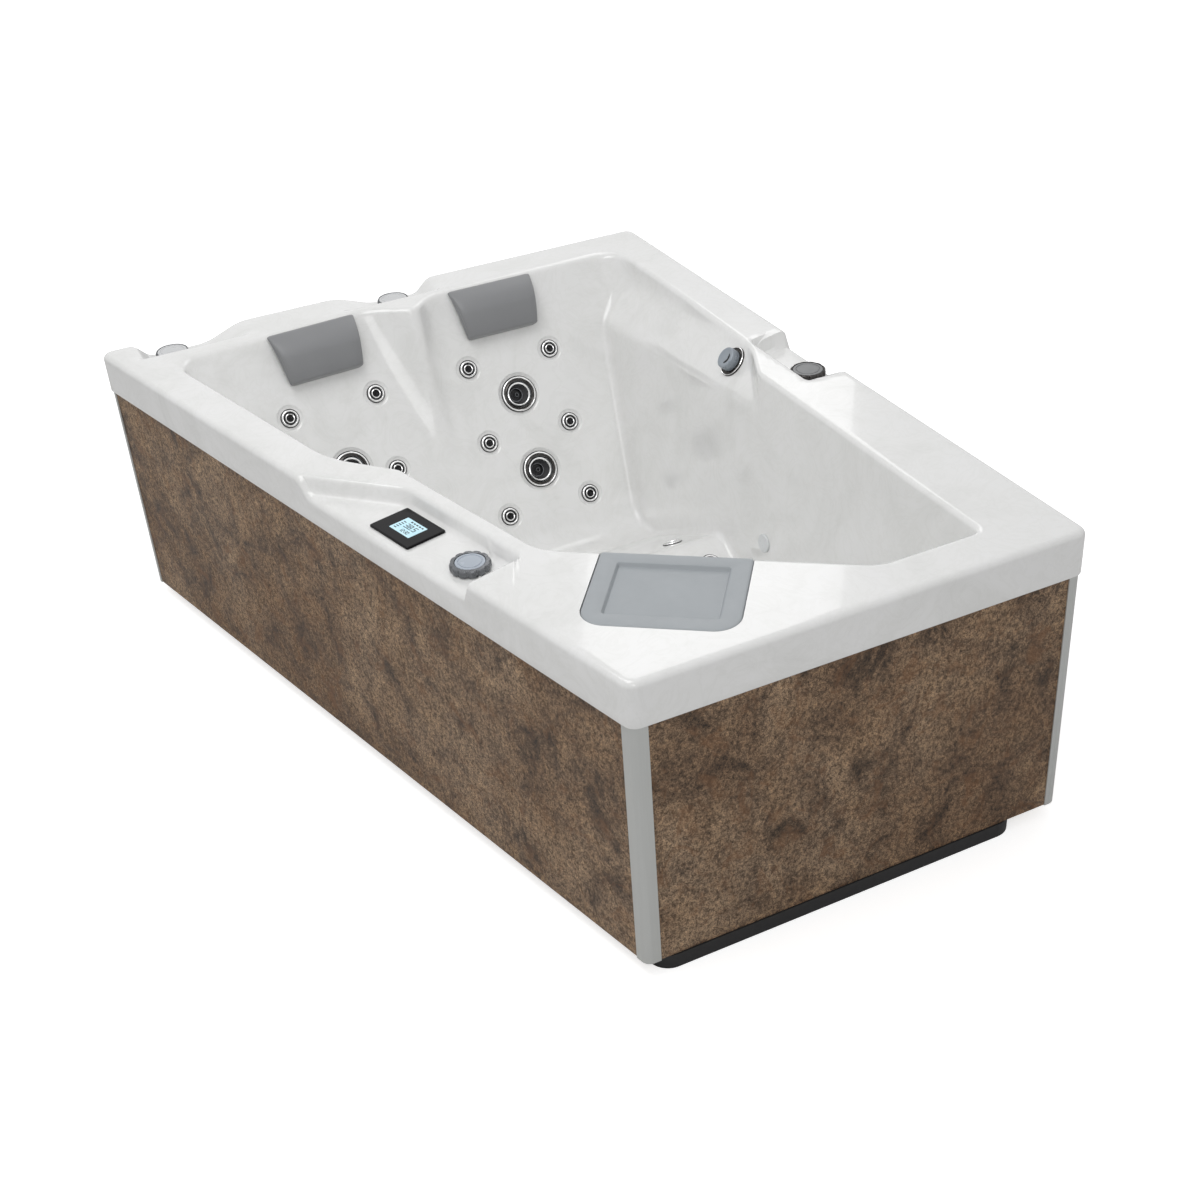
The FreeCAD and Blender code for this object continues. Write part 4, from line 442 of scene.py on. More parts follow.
def even_places(points, count, wrap):
    """Shares along each line of points that space it by length plus turning, as whole arrays."""
    step = np.diff(points, axis=0)
    length = np.linalg.norm(step, axis=-1)
    heading = step / np.maximum(length, 1e-12)[..., None]
    turn = np.arccos(np.clip((heading[1:] * heading[:-1]).sum(-1), -1, 1))
    pad = np.zeros((1,) + turn.shape[1:])
    weight = length + TURN_WEIGHT * (np.concatenate([turn, pad]) + np.concatenate([pad, turn])) / 2
    total = np.concatenate([pad, np.cumsum(weight, 0)])
    wanted = np.linspace(0, 1, count, endpoint=not wrap)
    source = np.linspace(0, 1, len(points))
    lines = total.reshape(len(points), -1).T
    return np.stack([np.interp(wanted * line[-1], line, source) for line in lines], 1)


def compass(theta):
    """Level unit vectors at angles about Z."""
    return np.stack([np.cos(theta), np.sin(theta), np.zeros_like(theta)], -1)


def rim_reach(theta):
    """Distance from the centre to where the flat rim starts, just outside the basin's edge."""
    def distance(rho):
        return hollow(CENTRE + UP * HEIGHT + compass(theta) * rho[..., None]) - TOP_EDGE - RIM_START
    return solve(distance, np.full_like(theta, NEAR_REACH), np.full_like(theta, RIM_FAR_REACH))


def outer_reach(theta):
    """Distance from the centre to where the rim's rounded outer edge starts."""
    def distance(rho):
        return outline_distance(CENTRE + compass(theta) * rho[..., None])[0] - (RIM_CORNER - RIM_EDGE)
    return solve(distance, np.full_like(theta, NEAR_REACH), np.full_like(theta, OUTER_FAR_REACH))


def column_angles():
    """Angles round the centre, closer together where the basin's or the rim's outline turns."""
    theta = np.linspace(0, 2 * math.pi, FINE_ANGLES)
    inner = CENTRE + compass(theta) * rim_reach(theta)[:, None]
    outer = CENTRE + compass(theta) * outer_reach(theta)[:, None]
    shares = [even_places(line[:, None], FINE_SHARES, False)[:, 0] for line in (inner, outer)]
    mixed = np.sort(np.concatenate(shares))
    return 2 * math.pi * np.interp(np.linspace(0, 1, COLUMNS, endpoint=False),
                                   np.linspace(0, 1, len(mixed)), mixed)


def basin_rows(theta, reach, pitch, wall):
    """Where rays from an eye above the tub meet the basin; pitch runs from its rim to straight down."""
    start = np.arctan2(EYE[2] - HEIGHT, reach)
    angle = start + pitch * (math.pi / 2 - start)
    ray = compass(np.broadcast_to(theta, angle.shape)) * np.cos(angle)[..., None] \
        - UP * np.sin(angle)[..., None]

    def distance(t):
        p = EYE + ray * t[..., None]
        return round_min(hollow(p), HEIGHT - p[..., 2], TOP_EDGE) - wall

    t = solve(distance, np.full(angle.shape, 0.02), np.full(angle.shape, CROSS_REACH))
    return EYE + ray * t[..., None]


def deck_rows(theta, inner, outer, share):
    """The rim's face between the basin's edge and the outer edge, solved straight down."""
    rho = inner + share * (outer - inner)
    flat = CENTRE + compass(np.broadcast_to(theta, rho.shape)) * rho[..., None]

    def distance(depth):
        return deck(flat + UP * (HEIGHT + DECK_LEAD - depth)[..., None])

    depth = solve(distance, np.zeros(rho.shape), np.full(rho.shape, DECK_DEPTH))
    return flat + UP * (HEIGHT + DECK_LEAD - depth)[..., None]


def shell_grid():
    """Rows from the floor's middle up the basin, over the rim, down the lip and back underneath."""
    theta = column_angles()
    inner, outer = rim_reach(theta), outer_reach(theta)
    dense = np.linspace(0, 1, 180)[:, None]
    basin_share = even_places(basin_rows(theta, inner, dense, 0), BASIN_ROWS + 1, False)[:-1]
    basin = basin_rows(theta, inner, basin_share, 0)[::-1]
    deck_share = even_places(deck_rows(theta, inner, outer, dense), DECK_ROWS, False)[1:]
    face = deck_rows(theta, inner, outer, deck_share)
    edge = face[-1]
    away = outline_distance(edge)[1]
    away = np.column_stack([away, np.zeros(len(away))])
    bend = np.radians(np.arange(12.5, 91, 12.9))[:, None, None]
    rounding = edge + RIM_EDGE * (np.sin(bend) * away - (1 - np.cos(bend)) * UP)
    lip = edge + RIM_EDGE * away
    levels = [(0.0, 0.02), (0.0, 0.003), (0.0009, 0.0009), (0.003, 0.0),
              (LIP_WALL - 0.001, 0.0), (LIP_WALL, 0.001)]
    skirt = [np.column_stack([(lip - away * inset)[:, :2], np.full(len(lip), LIP_BOTTOM + rise)])
             for inset, rise in levels]
    under = POCKET_FLOOR - LIP_WALL
    inside = [np.column_stack([(lip - away * LIP_WALL)[:, :2], np.full(len(lip), under)])]
    base = basin_rows(theta, inner, basin_share[4::4], SHELL_WALL)
    base = base[base[..., 2].max(1) < under]
    return np.concatenate([basin, face, rounding, np.stack(skirt + inside), base])


# ---------------------------------------------------------------- cutters for the shell
# Dishes: outer radius, depth and the cup's radius.
BIG_DISH = (0.064, 0.004, 0.0445)
SMALL_DISH = (0.038, 0.003, 0.0195)
DISH_LEDGE = 0.010
DISH_BORE = 0.055
LID_CLEARANCE = 0.0015
WELL_RUN, WELL_ACROSS = (0.165, 0.427), (0.020, 0.244)
WELL_CORNER = 0.006
WELL_BOTTOM = 0.655
MOUTH_RUN, MOUTH_ACROSS = (0.201, 0.391), (-0.045, 0.045)
MOUTH_CORNER = 0.004
MOUTH_TOP, MOUTH_SILL = 0.022, 0.114
CUTTER_RISE = 0.03


def jet_places():
    """Placement and size of every jet, from the joints its face ring turns on."""
    places = []
    for name, joint in JOINTS.items():
        if name.startswith("jet_ring") or name.startswith("big_jet_ring"):
            places.append((joint["child"], np.array(joint["pos_m"]), unit(joint["axis"]),
                           name.startswith("big")))
    return places


def dish_cutter(origin, axis, big):
    """Turned block that sinks a shallow dish, z = -d (1 - s^2) over its slope, with a cup in its middle."""
    rim, depth, cup = BIG_DISH if big else SMALL_DISH
    slope = np.linspace(0, 1, 7)
    floor = cup + DISH_LEDGE + (rim - cup - DISH_LEDGE) * slope
    profile = [(cup, -DISH_BORE), (cup, -depth)]
    profile += [(r, -depth * (1 - s * s)) for r, s in zip(floor, slope)]
    profile += [(rim + 0.004, 0.004), (rim + 0.004, 0.02)]
    return turned_plug(profile, 72, origin, axis)


def along_lid(ring):
    """Plan points given along and across the diagonal wall, in the tub's frame."""
    return DIAGONAL_START[:2] + ring[:, :1] * ALONG[:2] + ring[:, 1:] * ACROSS[:2]


def lid_ring(grow, near, far, samples=14):
    """Plan of the lid, grown all round: two wide corners towards the rim, two tight ones at the basin."""
    corners = rectangle((LID_START - grow, LID_START + LID_LENGTH + grow), (-grow, LID_WIDTH + grow))
    return along_lid(rounded_ring(corners, (far, far, near, near), samples))


def cutters():
    """Two sets that each don't overlap: jet dishes with the lid's stepped well, and the weir's mouth."""
    parts = [dish_cutter(origin, axis, big) for _, origin, axis, big in jet_places()]
    seat = lid_ring(LID_CLEARANCE, LID_NEAR + LID_CLEARANCE, LID_FAR + LID_CLEARANCE)
    floor = HEIGHT - LID_THICKNESS - SEAT_GAP
    well = along_lid(rounded_ring(rectangle(WELL_RUN, WELL_ACROSS), (WELL_CORNER,) * 4, 14))
    steps = stacked([well, well, seat, seat], [WELL_BOTTOM, floor, floor, HEIGHT + CUTTER_RISE])
    parts.append(closed_grid(steps[:, ::-1]))
    mouth = along_lid(rounded_ring(rectangle(MOUTH_RUN, MOUTH_ACROSS), (MOUTH_CORNER,) * 4, 4))
    levels = [floor - MOUTH_SILL, floor - MOUTH_TOP]
    return parts, [closed_grid(stacked([mouth, mouth], levels)[:, ::-1])]


def tub_shell(material):
    """The closed moulding, less its cutters."""
    body = piece("moulded_shell", [closed_grid(shell_grid())], material, "tub")
    tools = []
    for parts in cutters():
        tools.append(piece("shell_cutter", parts, material, "tub"))
        cut = body.modifiers.new("cut", "BOOLEAN")
        cut.operation, cut.solver, cut.object = "DIFFERENCE", "EXACT", tools[-1]
    bpy.context.view_layer.update()
    mesh = bpy.data.meshes.new_from_object(body.evaluated_get(bpy.context.evaluated_depsgraph_get()))
    for thing in [body] + tools:
        bpy.data.objects.remove(thing)
    shell = dress("moulded_shell", mesh, material, "tub", 32)
    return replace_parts(shell, "tub_shell")


# ---------------------------------------------------------------- finishes
class Finish:
    """A node material built up step by step round one shader."""

    def __init__(self, name, color, roughness, **sockets):
        self.material = bpy.data.materials.new(name)
        self.material.use_nodes = True
        self.nodes, self.links = self.material.node_tree.nodes, self.material.node_tree.links
        self.shader = self.nodes["Principled BSDF"]
        self.shader.inputs["Base Color"].default_value = (*color, 1)
        self.shader.inputs["Roughness"].default_value = roughness
        for socket, value in sockets.items():
            self.shader.inputs[socket.replace("_", " ")].default_value = value
        self.place = self.nodes.new("ShaderNodeTexCoord").outputs["Object"]

    def stretched(self, x, y, z):
        """The piece's own coordinates, scaled along each axis."""
        node = self.nodes.new("ShaderNodeMapping")
        node.inputs["Scale"].default_value = (x, y, z)
        self.links.new(self.place, node.inputs["Vector"])
        return node.outputs["Vector"]

    def noise(self, scale, detail=4.0, rough=0.5, warp=0.0, at=None):
        """Cloudy pattern from 0 to 1."""
        node = self.nodes.new("ShaderNodeTexNoise")
        node.inputs["Scale"].default_value = scale
        node.inputs["Detail"].default_value = detail
        node.inputs["Roughness"].default_value = rough
        node.inputs["Distortion"].default_value = warp
        self.links.new(at or self.place, node.inputs["Vector"])
        return node.outputs["Fac"]

    def cells(self, scale, at=None):
        """Distance to the middle of the nearest cell."""
        node = self.nodes.new("ShaderNodeTexVoronoi")
        node.inputs["Scale"].default_value = scale
        self.links.new(at or self.place, node.inputs["Vector"])
        return node.outputs["Distance"]

    def ramp(self, factor, stops):
        """Colours or greys between stops of (place, value)."""
        node = self.nodes.new("ShaderNodeValToRGB")
        points = node.color_ramp.elements
        while len(points) < len(stops):
            points.new(0.5)
        for point, (place, value) in zip(points, stops):
            point.position = place
            point.color = (*value, 1) if hasattr(value, "__len__") else (value, value, value, 1)
        self.links.new(factor, node.inputs["Fac"])
        return node.outputs["Color"]

    def mix(self, factor, a, b, how="MIX"):
        """Blend of two colours, or of two linked outputs."""
        node = self.nodes.new("ShaderNodeMix")
        node.data_type, node.blend_type = "RGBA", how
        for socket, value in (("Factor", factor), ("A", a), ("B", b)):
            target = [i for i in node.inputs if i.name == socket and i.enabled][0]
            if hasattr(value, "is_linked"):
                self.links.new(value, target)
            else:
                target.default_value = (*value, 1) if hasattr(value, "__len__") else value
        return [o for o in node.outputs if o.enabled][0]

    def set(self, socket, output):
        """Links an output to one of the shader's sockets."""
        self.links.new(output, self.shader.inputs[socket])
        return self

    def bump(self, height, strength, distance):
        """Adds a bump on top of any that the shader already has."""
        node = self.nodes.new("ShaderNodeBump")
        node.inputs["Strength"].default_value = strength
        node.inputs["Distance"].default_value = distance
        self.links.new(height, node.inputs["Height"])
        if self.shader.inputs["Normal"].is_linked:
            self.links.new(self.shader.inputs["Normal"].links[0].from_socket, node.inputs["Normal"])
        self.links.new(node.outputs["Normal"], self.shader.inputs["Normal"])
        return self


def acrylic():
    """Cast white acrylic with a faint cloudy marble under a hard gloss."""
    f = Finish("cast_acrylic", (0.80, 0.80, 0.79), 0.16, Coat_Weight=0.6, Coat_Roughness=0.04)
    clouds = f.noise(3.4, 5.0, 0.58, 1.8)
    veins = f.noise(7.5, 6.0, 0.6, 3.0)
    base = f.ramp(clouds, [(0.34, (0.838, 0.840, 0.828)), (0.50, (0.884, 0.885, 0.876)),
                           (0.66, (0.900, 0.900, 0.896))])
    streak = f.ramp(veins, [(0.44, (1.0, 1.0, 1.0)), (0.50, (0.965, 0.965, 0.960)),
                            (0.56, (1.0, 1.0, 1.0))])
    f.set("Base Color", f.mix(0.8, base, streak, "MULTIPLY"))
    f.set("Roughness", f.ramp(f.noise(9.0, 3.0), [(0.3, 0.12), (0.7, 0.20)]))
    return f.bump(f.noise(5.0, 2.0), 0.05, 0.002).material


def laminate():
    """Stone-look board: oxidised browns, dark scorched patches, tan and rust flecks and a dry grain."""
    f = Finish("oxidised_laminate", (0.15, 0.10, 0.07), 0.6, Specular_IOR_Level=0.3)
    dragged = f.stretched(1.0, 1.0, 0.85)
    clouds = f.noise(2.8, 7.0, 0.66, 0.5, dragged)
    patches = f.noise(9.0, 9.0, 0.74, 0.6, dragged)
    flecks = f.noise(110.0, 7.0, 0.82, 0.3, dragged)
    grain = f.noise(300.0, 5.0, 0.85)
    base = f.ramp(clouds, [(0.32, (0.140, 0.090, 0.058)), (0.46, (0.212, 0.146, 0.096)),
                           (0.62, (0.275, 0.202, 0.142))])
    dark = f.ramp(patches, [(0.37, (0.28, 0.26, 0.25)), (0.46, (0.80, 0.77, 0.75)),
                            (0.60, (1.20, 1.18, 1.14))])
    tan = f.ramp(flecks, [(0.40, (0.36, 0.34, 0.32)), (0.49, (0.94, 0.93, 0.92)),
                          (0.59, (1.62, 1.56, 1.46))])
    dry = f.ramp(grain, [(0.40, (0.40, 0.38, 0.36)), (0.49, (0.96, 0.96, 0.96)),
                         (0.60, (1.55, 1.52, 1.46))])
    stone = f.mix(1.0, f.mix(1.0, f.mix(1.0, base, dark, "MULTIPLY"), tan, "MULTIPLY"), dry, "MULTIPLY")
    rust = f.ramp(f.noise(15.0, 8.0, 0.75, 1.0, dragged), [(0.52, 0.0), (0.64, 0.60)])
    f.set("Base Color", f.mix(rust, stone, (0.185, 0.090, 0.042)))
    f.set("Roughness", f.ramp(patches, [(0.35, 0.45), (0.65, 0.70)]))
    return f.bump(grain, 0.30, 0.0006).bump(flecks, 0.25, 0.0012).material


def brushed(name, color, roughness, along, metallic=1.0, **sockets):
    """Metal or plastic with fine lines along one axis."""
    f = Finish(name, color, roughness, Metallic=metallic, **sockets)
    lines = f.noise(160.0, 3.0, 0.6, 0.0, f.stretched(*along))
    f.set("Base Color", f.mix(lines, [c * 0.92 for c in color], [min(1.0, c * 1.06) for c in color]))
    f.set("Roughness", f.ramp(lines, [(0.3, roughness * 0.8), (0.7, roughness * 1.25)]))
    return f.bump(lines, 0.06, 0.0003).material


def moulded(name, color, roughness, grain=420.0, depth=0.12, **sockets):
    """Injection-moulded plastic: a spark-eroded grain and a slight unevenness of tone."""
    f = Finish(name, color, roughness, **sockets)
    tone = f.noise(14.0, 3.0)
    f.set("Base Color", f.mix(tone, [c * 0.95 for c in color], [min(1.0, c * 1.05) for c in color]))
    f.set("Roughness", f.ramp(f.noise(60.0, 3.0), [(0.3, roughness * 0.88), (0.7, roughness * 1.12)]))
    return f.bump(f.cells(grain), depth, 0.0003).material


def chrome():
    """Polished chrome with faint wiping marks in its gloss."""
    f = Finish("polished_chrome", (0.88, 0.88, 0.88), 0.08, Metallic=1.0)
    f.set("Roughness", f.ramp(f.noise(90.0, 4.0), [(0.35, 0.05), (0.7, 0.14)]))
    return f.material


def pillow_skin():
    """Grey self-skinned foam with a fine leather grain and a soft sheen."""
    f = Finish("pillow_skin", (0.23, 0.235, 0.243), 0.50, Sheen_Weight=0.12, Sheen_Roughness=0.5)
    creases = f.cells(330.0)
    tone = f.noise(9.0, 4.0)
    f.set("Base Color", f.mix(tone, (0.232, 0.236, 0.244), (0.262, 0.266, 0.274)))
    f.set("Roughness", f.ramp(creases, [(0.0, 0.55), (0.5, 0.40)]))
    return f.bump(creases, 0.30, 0.0005).material


def timber():
    """Planed softwood: rings stretched along the board and a few darker latewood lines."""
    f = Finish("planed_softwood", (0.60, 0.43, 0.26), 0.6)
    rings = f.noise(9.0, 4.0, 0.6, 2.5, f.stretched(0.6, 5.0, 5.0))
    f.set("Base Color", f.ramp(rings, [(0.35, (0.42, 0.27, 0.14)), (0.55, (0.62, 0.44, 0.26)),
                                       (0.75, (0.68, 0.52, 0.34))]))
    return f.bump(rings, 0.15, 0.0006).material


def screen_glow():
    """Liquid-crystal face, pale blue and brighter in the middle."""
    f = Finish("screen_glow", (0.36, 0.62, 0.74), 0.12, Coat_Weight=0.6)
    f.shader.inputs["Emission Strength"].default_value = 0.35
    wash = f.noise(40.0, 2.0)
    glow = f.mix(wash, (0.36, 0.64, 0.76), (0.60, 0.80, 0.87))
    return f.set("Base Color", glow).set("Emission Color", glow).material


def pleated_paper():
    """White filter paper with upright folds, painted darker where they sink as shade in the creases."""
    f = Finish("filter_paper", (0.80, 0.80, 0.76), 0.8)
    folds = f.noise(26.0, 2.0, 0.5, 0.0, f.stretched(9.0, 9.0, 0.1))
    # Painted shade: the colour follows the folds' bump, darker in the creases.
    f.set("Base Color", f.ramp(folds, [(0.4, (0.62, 0.62, 0.58)), (0.6, (0.82, 0.82, 0.78))]))
    return f.bump(folds, 0.6, 0.002).material


FINISHES = {
    "acrylic": acrylic(),
    "laminate": laminate(),
    "post": brushed("anodised_post", (0.56, 0.57, 0.555), 0.42, (1.0, 1.0, 0.02), 0.15),
    "pan": moulded("pan_black", (0.012, 0.012, 0.013), 0.5, 260.0, 0.3),
    "timber": timber(),
    "pillow_skin": pillow_skin(),
    "grey_plastic": moulded("lid_grey", (0.375, 0.400, 0.420), 0.45, 520.0, 0.10),
    "dark_plastic": moulded("dark_plastic", (0.016, 0.016, 0.018), 0.38, Specular_IOR_Level=0.3),
    "black_gloss": moulded("bezel_gloss", (0.004, 0.004, 0.005), 0.14, 700.0, 0.01, Specular_IOR_Level=0.16),
    "lit_screen": screen_glow(),
    "cap_grey": moulded("cap_grey", (0.30, 0.335, 0.375), 0.30, 600.0, 0.05, Metallic=0.15),
    "chromed": chrome(),
    "steel": brushed("stainless", (0.56, 0.56, 0.55), 0.30, (0.03, 1.0, 1.0)),
    "white_pipe": moulded("pipe_white", (0.78, 0.78, 0.76), 0.3, 200.0, 0.02),
    "motor_paint": moulded("motor_paint", (0.020, 0.030, 0.055), 0.4, 150.0, 0.1),
    "filter_paper": pleated_paper(),
    "lens": moulded("frosted_lens", (0.74, 0.76, 0.77), 0.30, 300.0, 0.05),
}
SMOKED = brushed("smoked_chrome", (0.060, 0.057, 0.055), 0.16, (1.0, 1.0, 0.2), 0.9)
GUNMETAL = brushed("gunmetal", (0.16, 0.165, 0.175), 0.28, (1.0, 1.0, 0.2), 0.85)
CAP_BLUE = moulded("cap_blue_grey", (0.42, 0.47, 0.54), 0.25, 600.0, 0.03, Coat_Weight=0.4)
CAP_PALE = moulded("cap_pale", (0.66, 0.67, 0.68), 0.3, 600.0, 0.03)
CAP_DARK = moulded("cap_dark_face", (0.19, 0.195, 0.20), 0.38, 120.0, 0.30)
LCD_INK = moulded("lcd_ink", (0.010, 0.022, 0.035), 0.4, 500.0, 0.0)


def dress_cad_nodes():
    """Gives every carried-over node the finish of its slot."""
    for part in RECORD["subparts"]:
        thing = frame["nodes"][part["node"]]
        material = FINISHES[part["material_slot"]]
        thing.data.materials.clear()
        thing.data.materials.append(material)


# ---------------------------------------------------------------- pillows
PILLOW_WIDTH = 0.260
PILLOW_FOOT_WIDTH = 0.216
PILLOW_LENGTH = 0.150
PILLOW_ROUND = 0.010
PILLOW_THIN = 0.010
PILLOW_SWELL = 0.041
PILLOW_TAPER = 0.020
PILLOW_CHANNEL = 0.0035


def pillow(side):
    """Crowned headrest: superellipse sections x = a |cos u|^p, z = h |sin u|^q from the rim down, with
    half width a and thickness h following smooth curves of the length and a channel along each side."""
    normal = unit(JOINTS["pillow_%s_slide" % side]["axis"])
    co = np.array([v.co for v in frame["nodes"]["pillow_" + side].data.vertices])
    back = (co @ normal).min()
    down = -unit(np.cross(np.cross(normal, UP), normal))
    top = (co @ down).min()
    across = np.cross(down, normal)
    middle = ((co @ across).max() + (co @ across).min()) / 2
    v = np.linspace(0, 1, 56)[:, None]
    turn = np.linspace(0, 2 * math.pi, 176, endpoint=False)[None]
    u = turn - 0.42 * np.sin(2 * turn)
    ends = np.clip(np.minimum(v, 1 - v) / 0.055, 0, 1)
    cap = np.sqrt(1 - (1 - ends) ** 2)
    half = (PILLOW_WIDTH + (PILLOW_FOOT_WIDTH - PILLOW_WIDTH) * v) / 2 - PILLOW_ROUND * (1 - cap)
    crown = PILLOW_THIN + PILLOW_SWELL * np.sin(np.clip(v / 0.52, 0, 1) * math.pi / 2) ** 1.15
    crown = crown - PILLOW_TAPER * np.clip((v - 0.50) / 0.50, 0, 1) ** 1.4
    thick = crown * (0.30 + 0.70 * cap)
    x = half * np.sign(np.cos(u)) * np.abs(np.cos(u)) ** 0.20
    lift = np.sign(np.sin(u)) * np.abs(np.sin(u)) ** 0.42
    channel = np.exp(-((lift - 0.30) / 0.16) ** 2) * (np.abs(np.cos(u)) > 0.5)
    x = x - np.sign(x) * PILLOW_CHANNEL * channel
    swell = 1 - 0.07 * (x / half) ** 2 * (lift > 0)
    z = thick * np.where(lift > 0, 0.42 + 0.58 * lift, 0.42 + 0.42 * lift) * swell
    y = PILLOW_LENGTH * (0.5 - 0.5 * np.cos(math.pi * v)) * 0.25 + PILLOW_LENGTH * v * 0.75
    points = (middle * across + (back + z[..., None]) * normal + (top + y[..., None]) * down
              + x[..., None] * across)
    made = piece("headrest_" + side, [closed_grid(points)], FINISHES["pillow_skin"],
                 "pillow_" + side)
    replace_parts(made, "pillow_" + side)
    return made


# ---------------------------------------------------------------- jets
# Each profile is a list of (radius, height) about the jet's own axis.
SMALL_RING = [(0.0190, -0.0028), (0.0187, 0.0014), (0.0192, 0.0032), (0.0206, 0.0042), (0.0222, 0.0040),
              (0.0238, 0.0026), (0.0250, 0.0004), (0.0250, -0.0026), (0.0240, -0.0028)]
SMALL_THROAT = [(0.0141, -0.0004), (0.0141, -0.030), (0.0185, -0.030), (0.0185, -0.0020),
                (0.0176, -0.0012), (0.0150, -0.0002)]
SMALL_LIP = [(0.0100, -0.012), (0.0100, 0.0014), (0.0106, 0.0026), (0.0120, 0.0030), (0.0132, 0.0022),
             (0.0136, 0.0006), (0.0136, -0.012)]
SMALL_NOZZLE = [(0.0030, -0.0120), (0.0030, -0.0080), (0.0037, -0.0072), (0.0050, -0.0072),
                (0.0057, -0.0080), (0.0057, -0.0120)]
SMALL_CUP = [(0.0099, -0.0140), (0.0099, -0.0115), (0.0020, -0.0118)]
# Radius where the small jet's thin dark ring of painted edge shade starts.
SMALL_SHADE_EDGE = 0.0251
BIG_RING = [(0.0462, -0.0036), (0.0460, 0.0010), (0.0466, 0.0024), (0.0480, 0.0034), (0.0496, 0.0032),
            (0.0510, 0.0020), (0.0520, 0.0002), (0.0520, -0.0036)]
BIG_GROOVE = [(0.0385, -0.0036), (0.0385, 0.0000), (0.0391, 0.0008), (0.0400, 0.0006), (0.0418, -0.0010),
              (0.0440, -0.0014), (0.0454, -0.0006), (0.0459, -0.0010), (0.0459, -0.0036)]
BIG_THROAT = [(0.0385, -0.0040), (0.0385, -0.050), (0.0440, -0.050), (0.0440, -0.0040)]
# Radius where the big jet's thin dark ring of painted edge shade starts.
BIG_SHADE_EDGE = 0.0521


def edge_shade_ring(edge):
    """Profile of the thin dark ring that starts at a face ring's edge: painted shade of the line where the ring
    meets the shell.
    """
    return [(edge, -0.0045), (edge, 0.0006), (edge + 0.0005, 0.0012), (edge + 0.0012, 0.0008),
            (edge + 0.0016, -0.0004), (edge + 0.0016, -0.0045)]


def jets():
    """Face rings, and the large jets' smoked grooves, turn on their joints; nozzle lips, cups, throats
    and the dark rings of painted shade round the face rings stay with the tub."""
    lips, darks = [], []
    for name, origin, axis, big in jet_places():
        if big:
            band = piece(name + "_groove", [turned_ring(BIG_GROOVE, 72, origin, axis)], SMOKED, name,
                         40)
            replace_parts(band, name)
        else:
            lips.append(turned_ring(SMALL_LIP, 48, origin, axis))
            darks.append(turned_plug(SMALL_CUP, 40, origin, axis))
            darks.append(turned_ring(SMALL_NOZZLE, 32, origin, axis))
        darks.append(turned_ring(BIG_THROAT if big else SMALL_THROAT, 56, origin, axis))
        # Thin dark ring round the face ring: painted shade where the ring meets the shell.
        darks.append(turned_ring(edge_shade_ring(BIG_SHADE_EDGE if big else SMALL_SHADE_EDGE), 72, origin, axis))
        face = piece(name + "_face", [turned_ring(BIG_RING if big else SMALL_RING, 72, origin, axis)],
                     FINISHES["chromed"], name, 40)
        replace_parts(face, name)
    lips = piece("nozzle_lips", lips, FINISHES["chromed"], "tub", 40)
    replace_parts(lips, "jet_nozzles")
    piece("nozzle_cups_and_edge_shade", darks, FINISHES["dark_plastic"], "tub", 40)


def eccentric(profile, columns, shifts):
    """Turned profile whose rows slide sideways along X by their own shift."""
    rows = lathe(profile, columns)
    rows[..., 0] += np.asarray(shifts, float)[:, None]
    return rows


ROTOR_SHIFT = -0.0060
OUTLET_SHIFT = 0.4
ROTOR_FUNNEL = [(0.0355, -0.030), (0.0355, -0.0100), (0.0340, -0.0088), (0.0295, -0.0092),
                (0.0265, -0.0106), (0.0235, -0.0128), (0.0208, -0.0140), (0.0176, -0.0140),
                (0.0170, -0.0156), (0.0166, -0.0230), (0.0020, -0.0234)]
FUNNEL_SHARES = np.array([0, 0, 0, 0, 0.25, 0.6, 1, 1, 1, 1, 1])
ROTOR_LIP = [(0.0292, -0.0120), (0.0292, -0.0040), (0.0300, -0.0020), (0.0320, -0.0008),
             (0.0342, -0.0014), (0.0352, -0.0034), (0.0353, -0.0120)]
ROTOR_BRIM = [(0.0178, -0.0150), (0.0178, -0.0128), (0.0184, -0.0120), (0.0196, -0.0118),
              (0.0206, -0.0126), (0.0208, -0.0150)]
ROTOR_OUTLET = [(0.0042, -0.0240), (0.0042, -0.0165), (0.0048, -0.0157), (0.0060, -0.0157),
                (0.0066, -0.0165), (0.0066, -0.0240)]


def rotors():
    """Spinning nozzle of a big jet: bright lip, eccentric dark funnel, its gunmetal brim and outlet."""
    for name, origin, axis, big in jet_places():
        if not big:
            continue
        rotor = name.replace("ring", "rotor")

        def eccentric_rows(profile, columns, shares):
            shifts = ROTOR_SHIFT * np.broadcast_to(shares, len(profile))
            return placed(eccentric(profile, columns, shifts), origin, (0, 1, 0), axis)

        made = piece(rotor + "_funnel", [closed_grid(eccentric_rows(ROTOR_FUNNEL, 72, FUNNEL_SHARES))],
                     FINISHES["dark_plastic"], rotor, 40)
        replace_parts(made, rotor)
        piece(rotor + "_lip", [turned_ring(ROTOR_LIP, 72, origin, axis)], FINISHES["chromed"], rotor,
              40)
        rims = [torus_grid(eccentric_rows(ROTOR_BRIM, 64, 1)[::-1]),
                torus_grid(eccentric_rows(ROTOR_OUTLET, 40, OUTLET_SHIFT)[::-1])]
        piece(rotor + "_brim", rims, GUNMETAL, rotor, 40)


HUMP_FITTINGS = [((-0.158, 0.459), (-HUMP_HEIGHT, 0, HUMP_RISE)),
                 ((0.012, 0.488), (HUMP_HEIGHT, 0, HUMP_FALL))]
HUMP_RING = [(0.0185, -0.002), (0.0185, 0.0030), (0.0195, 0.0046), (0.0215, 0.0052), (0.0238, 0.0044),
             (0.0252, 0.0022), (0.0252, -0.002)]
# Thin dark ring round each hump face ring: painted shade where the ring meets the hump.
HUMP_EDGE_SHADE = [(0.0250, -0.002), (0.0250, 0.0016), (0.0262, 0.0020), (0.0275, 0.0012), (0.0275, -0.002)]
HUMP_MIDDLE = [(0.0188, -0.0010), (0.0188, 0.0010), (0.0150, 0.0020), (0.0020, 0.0022)]


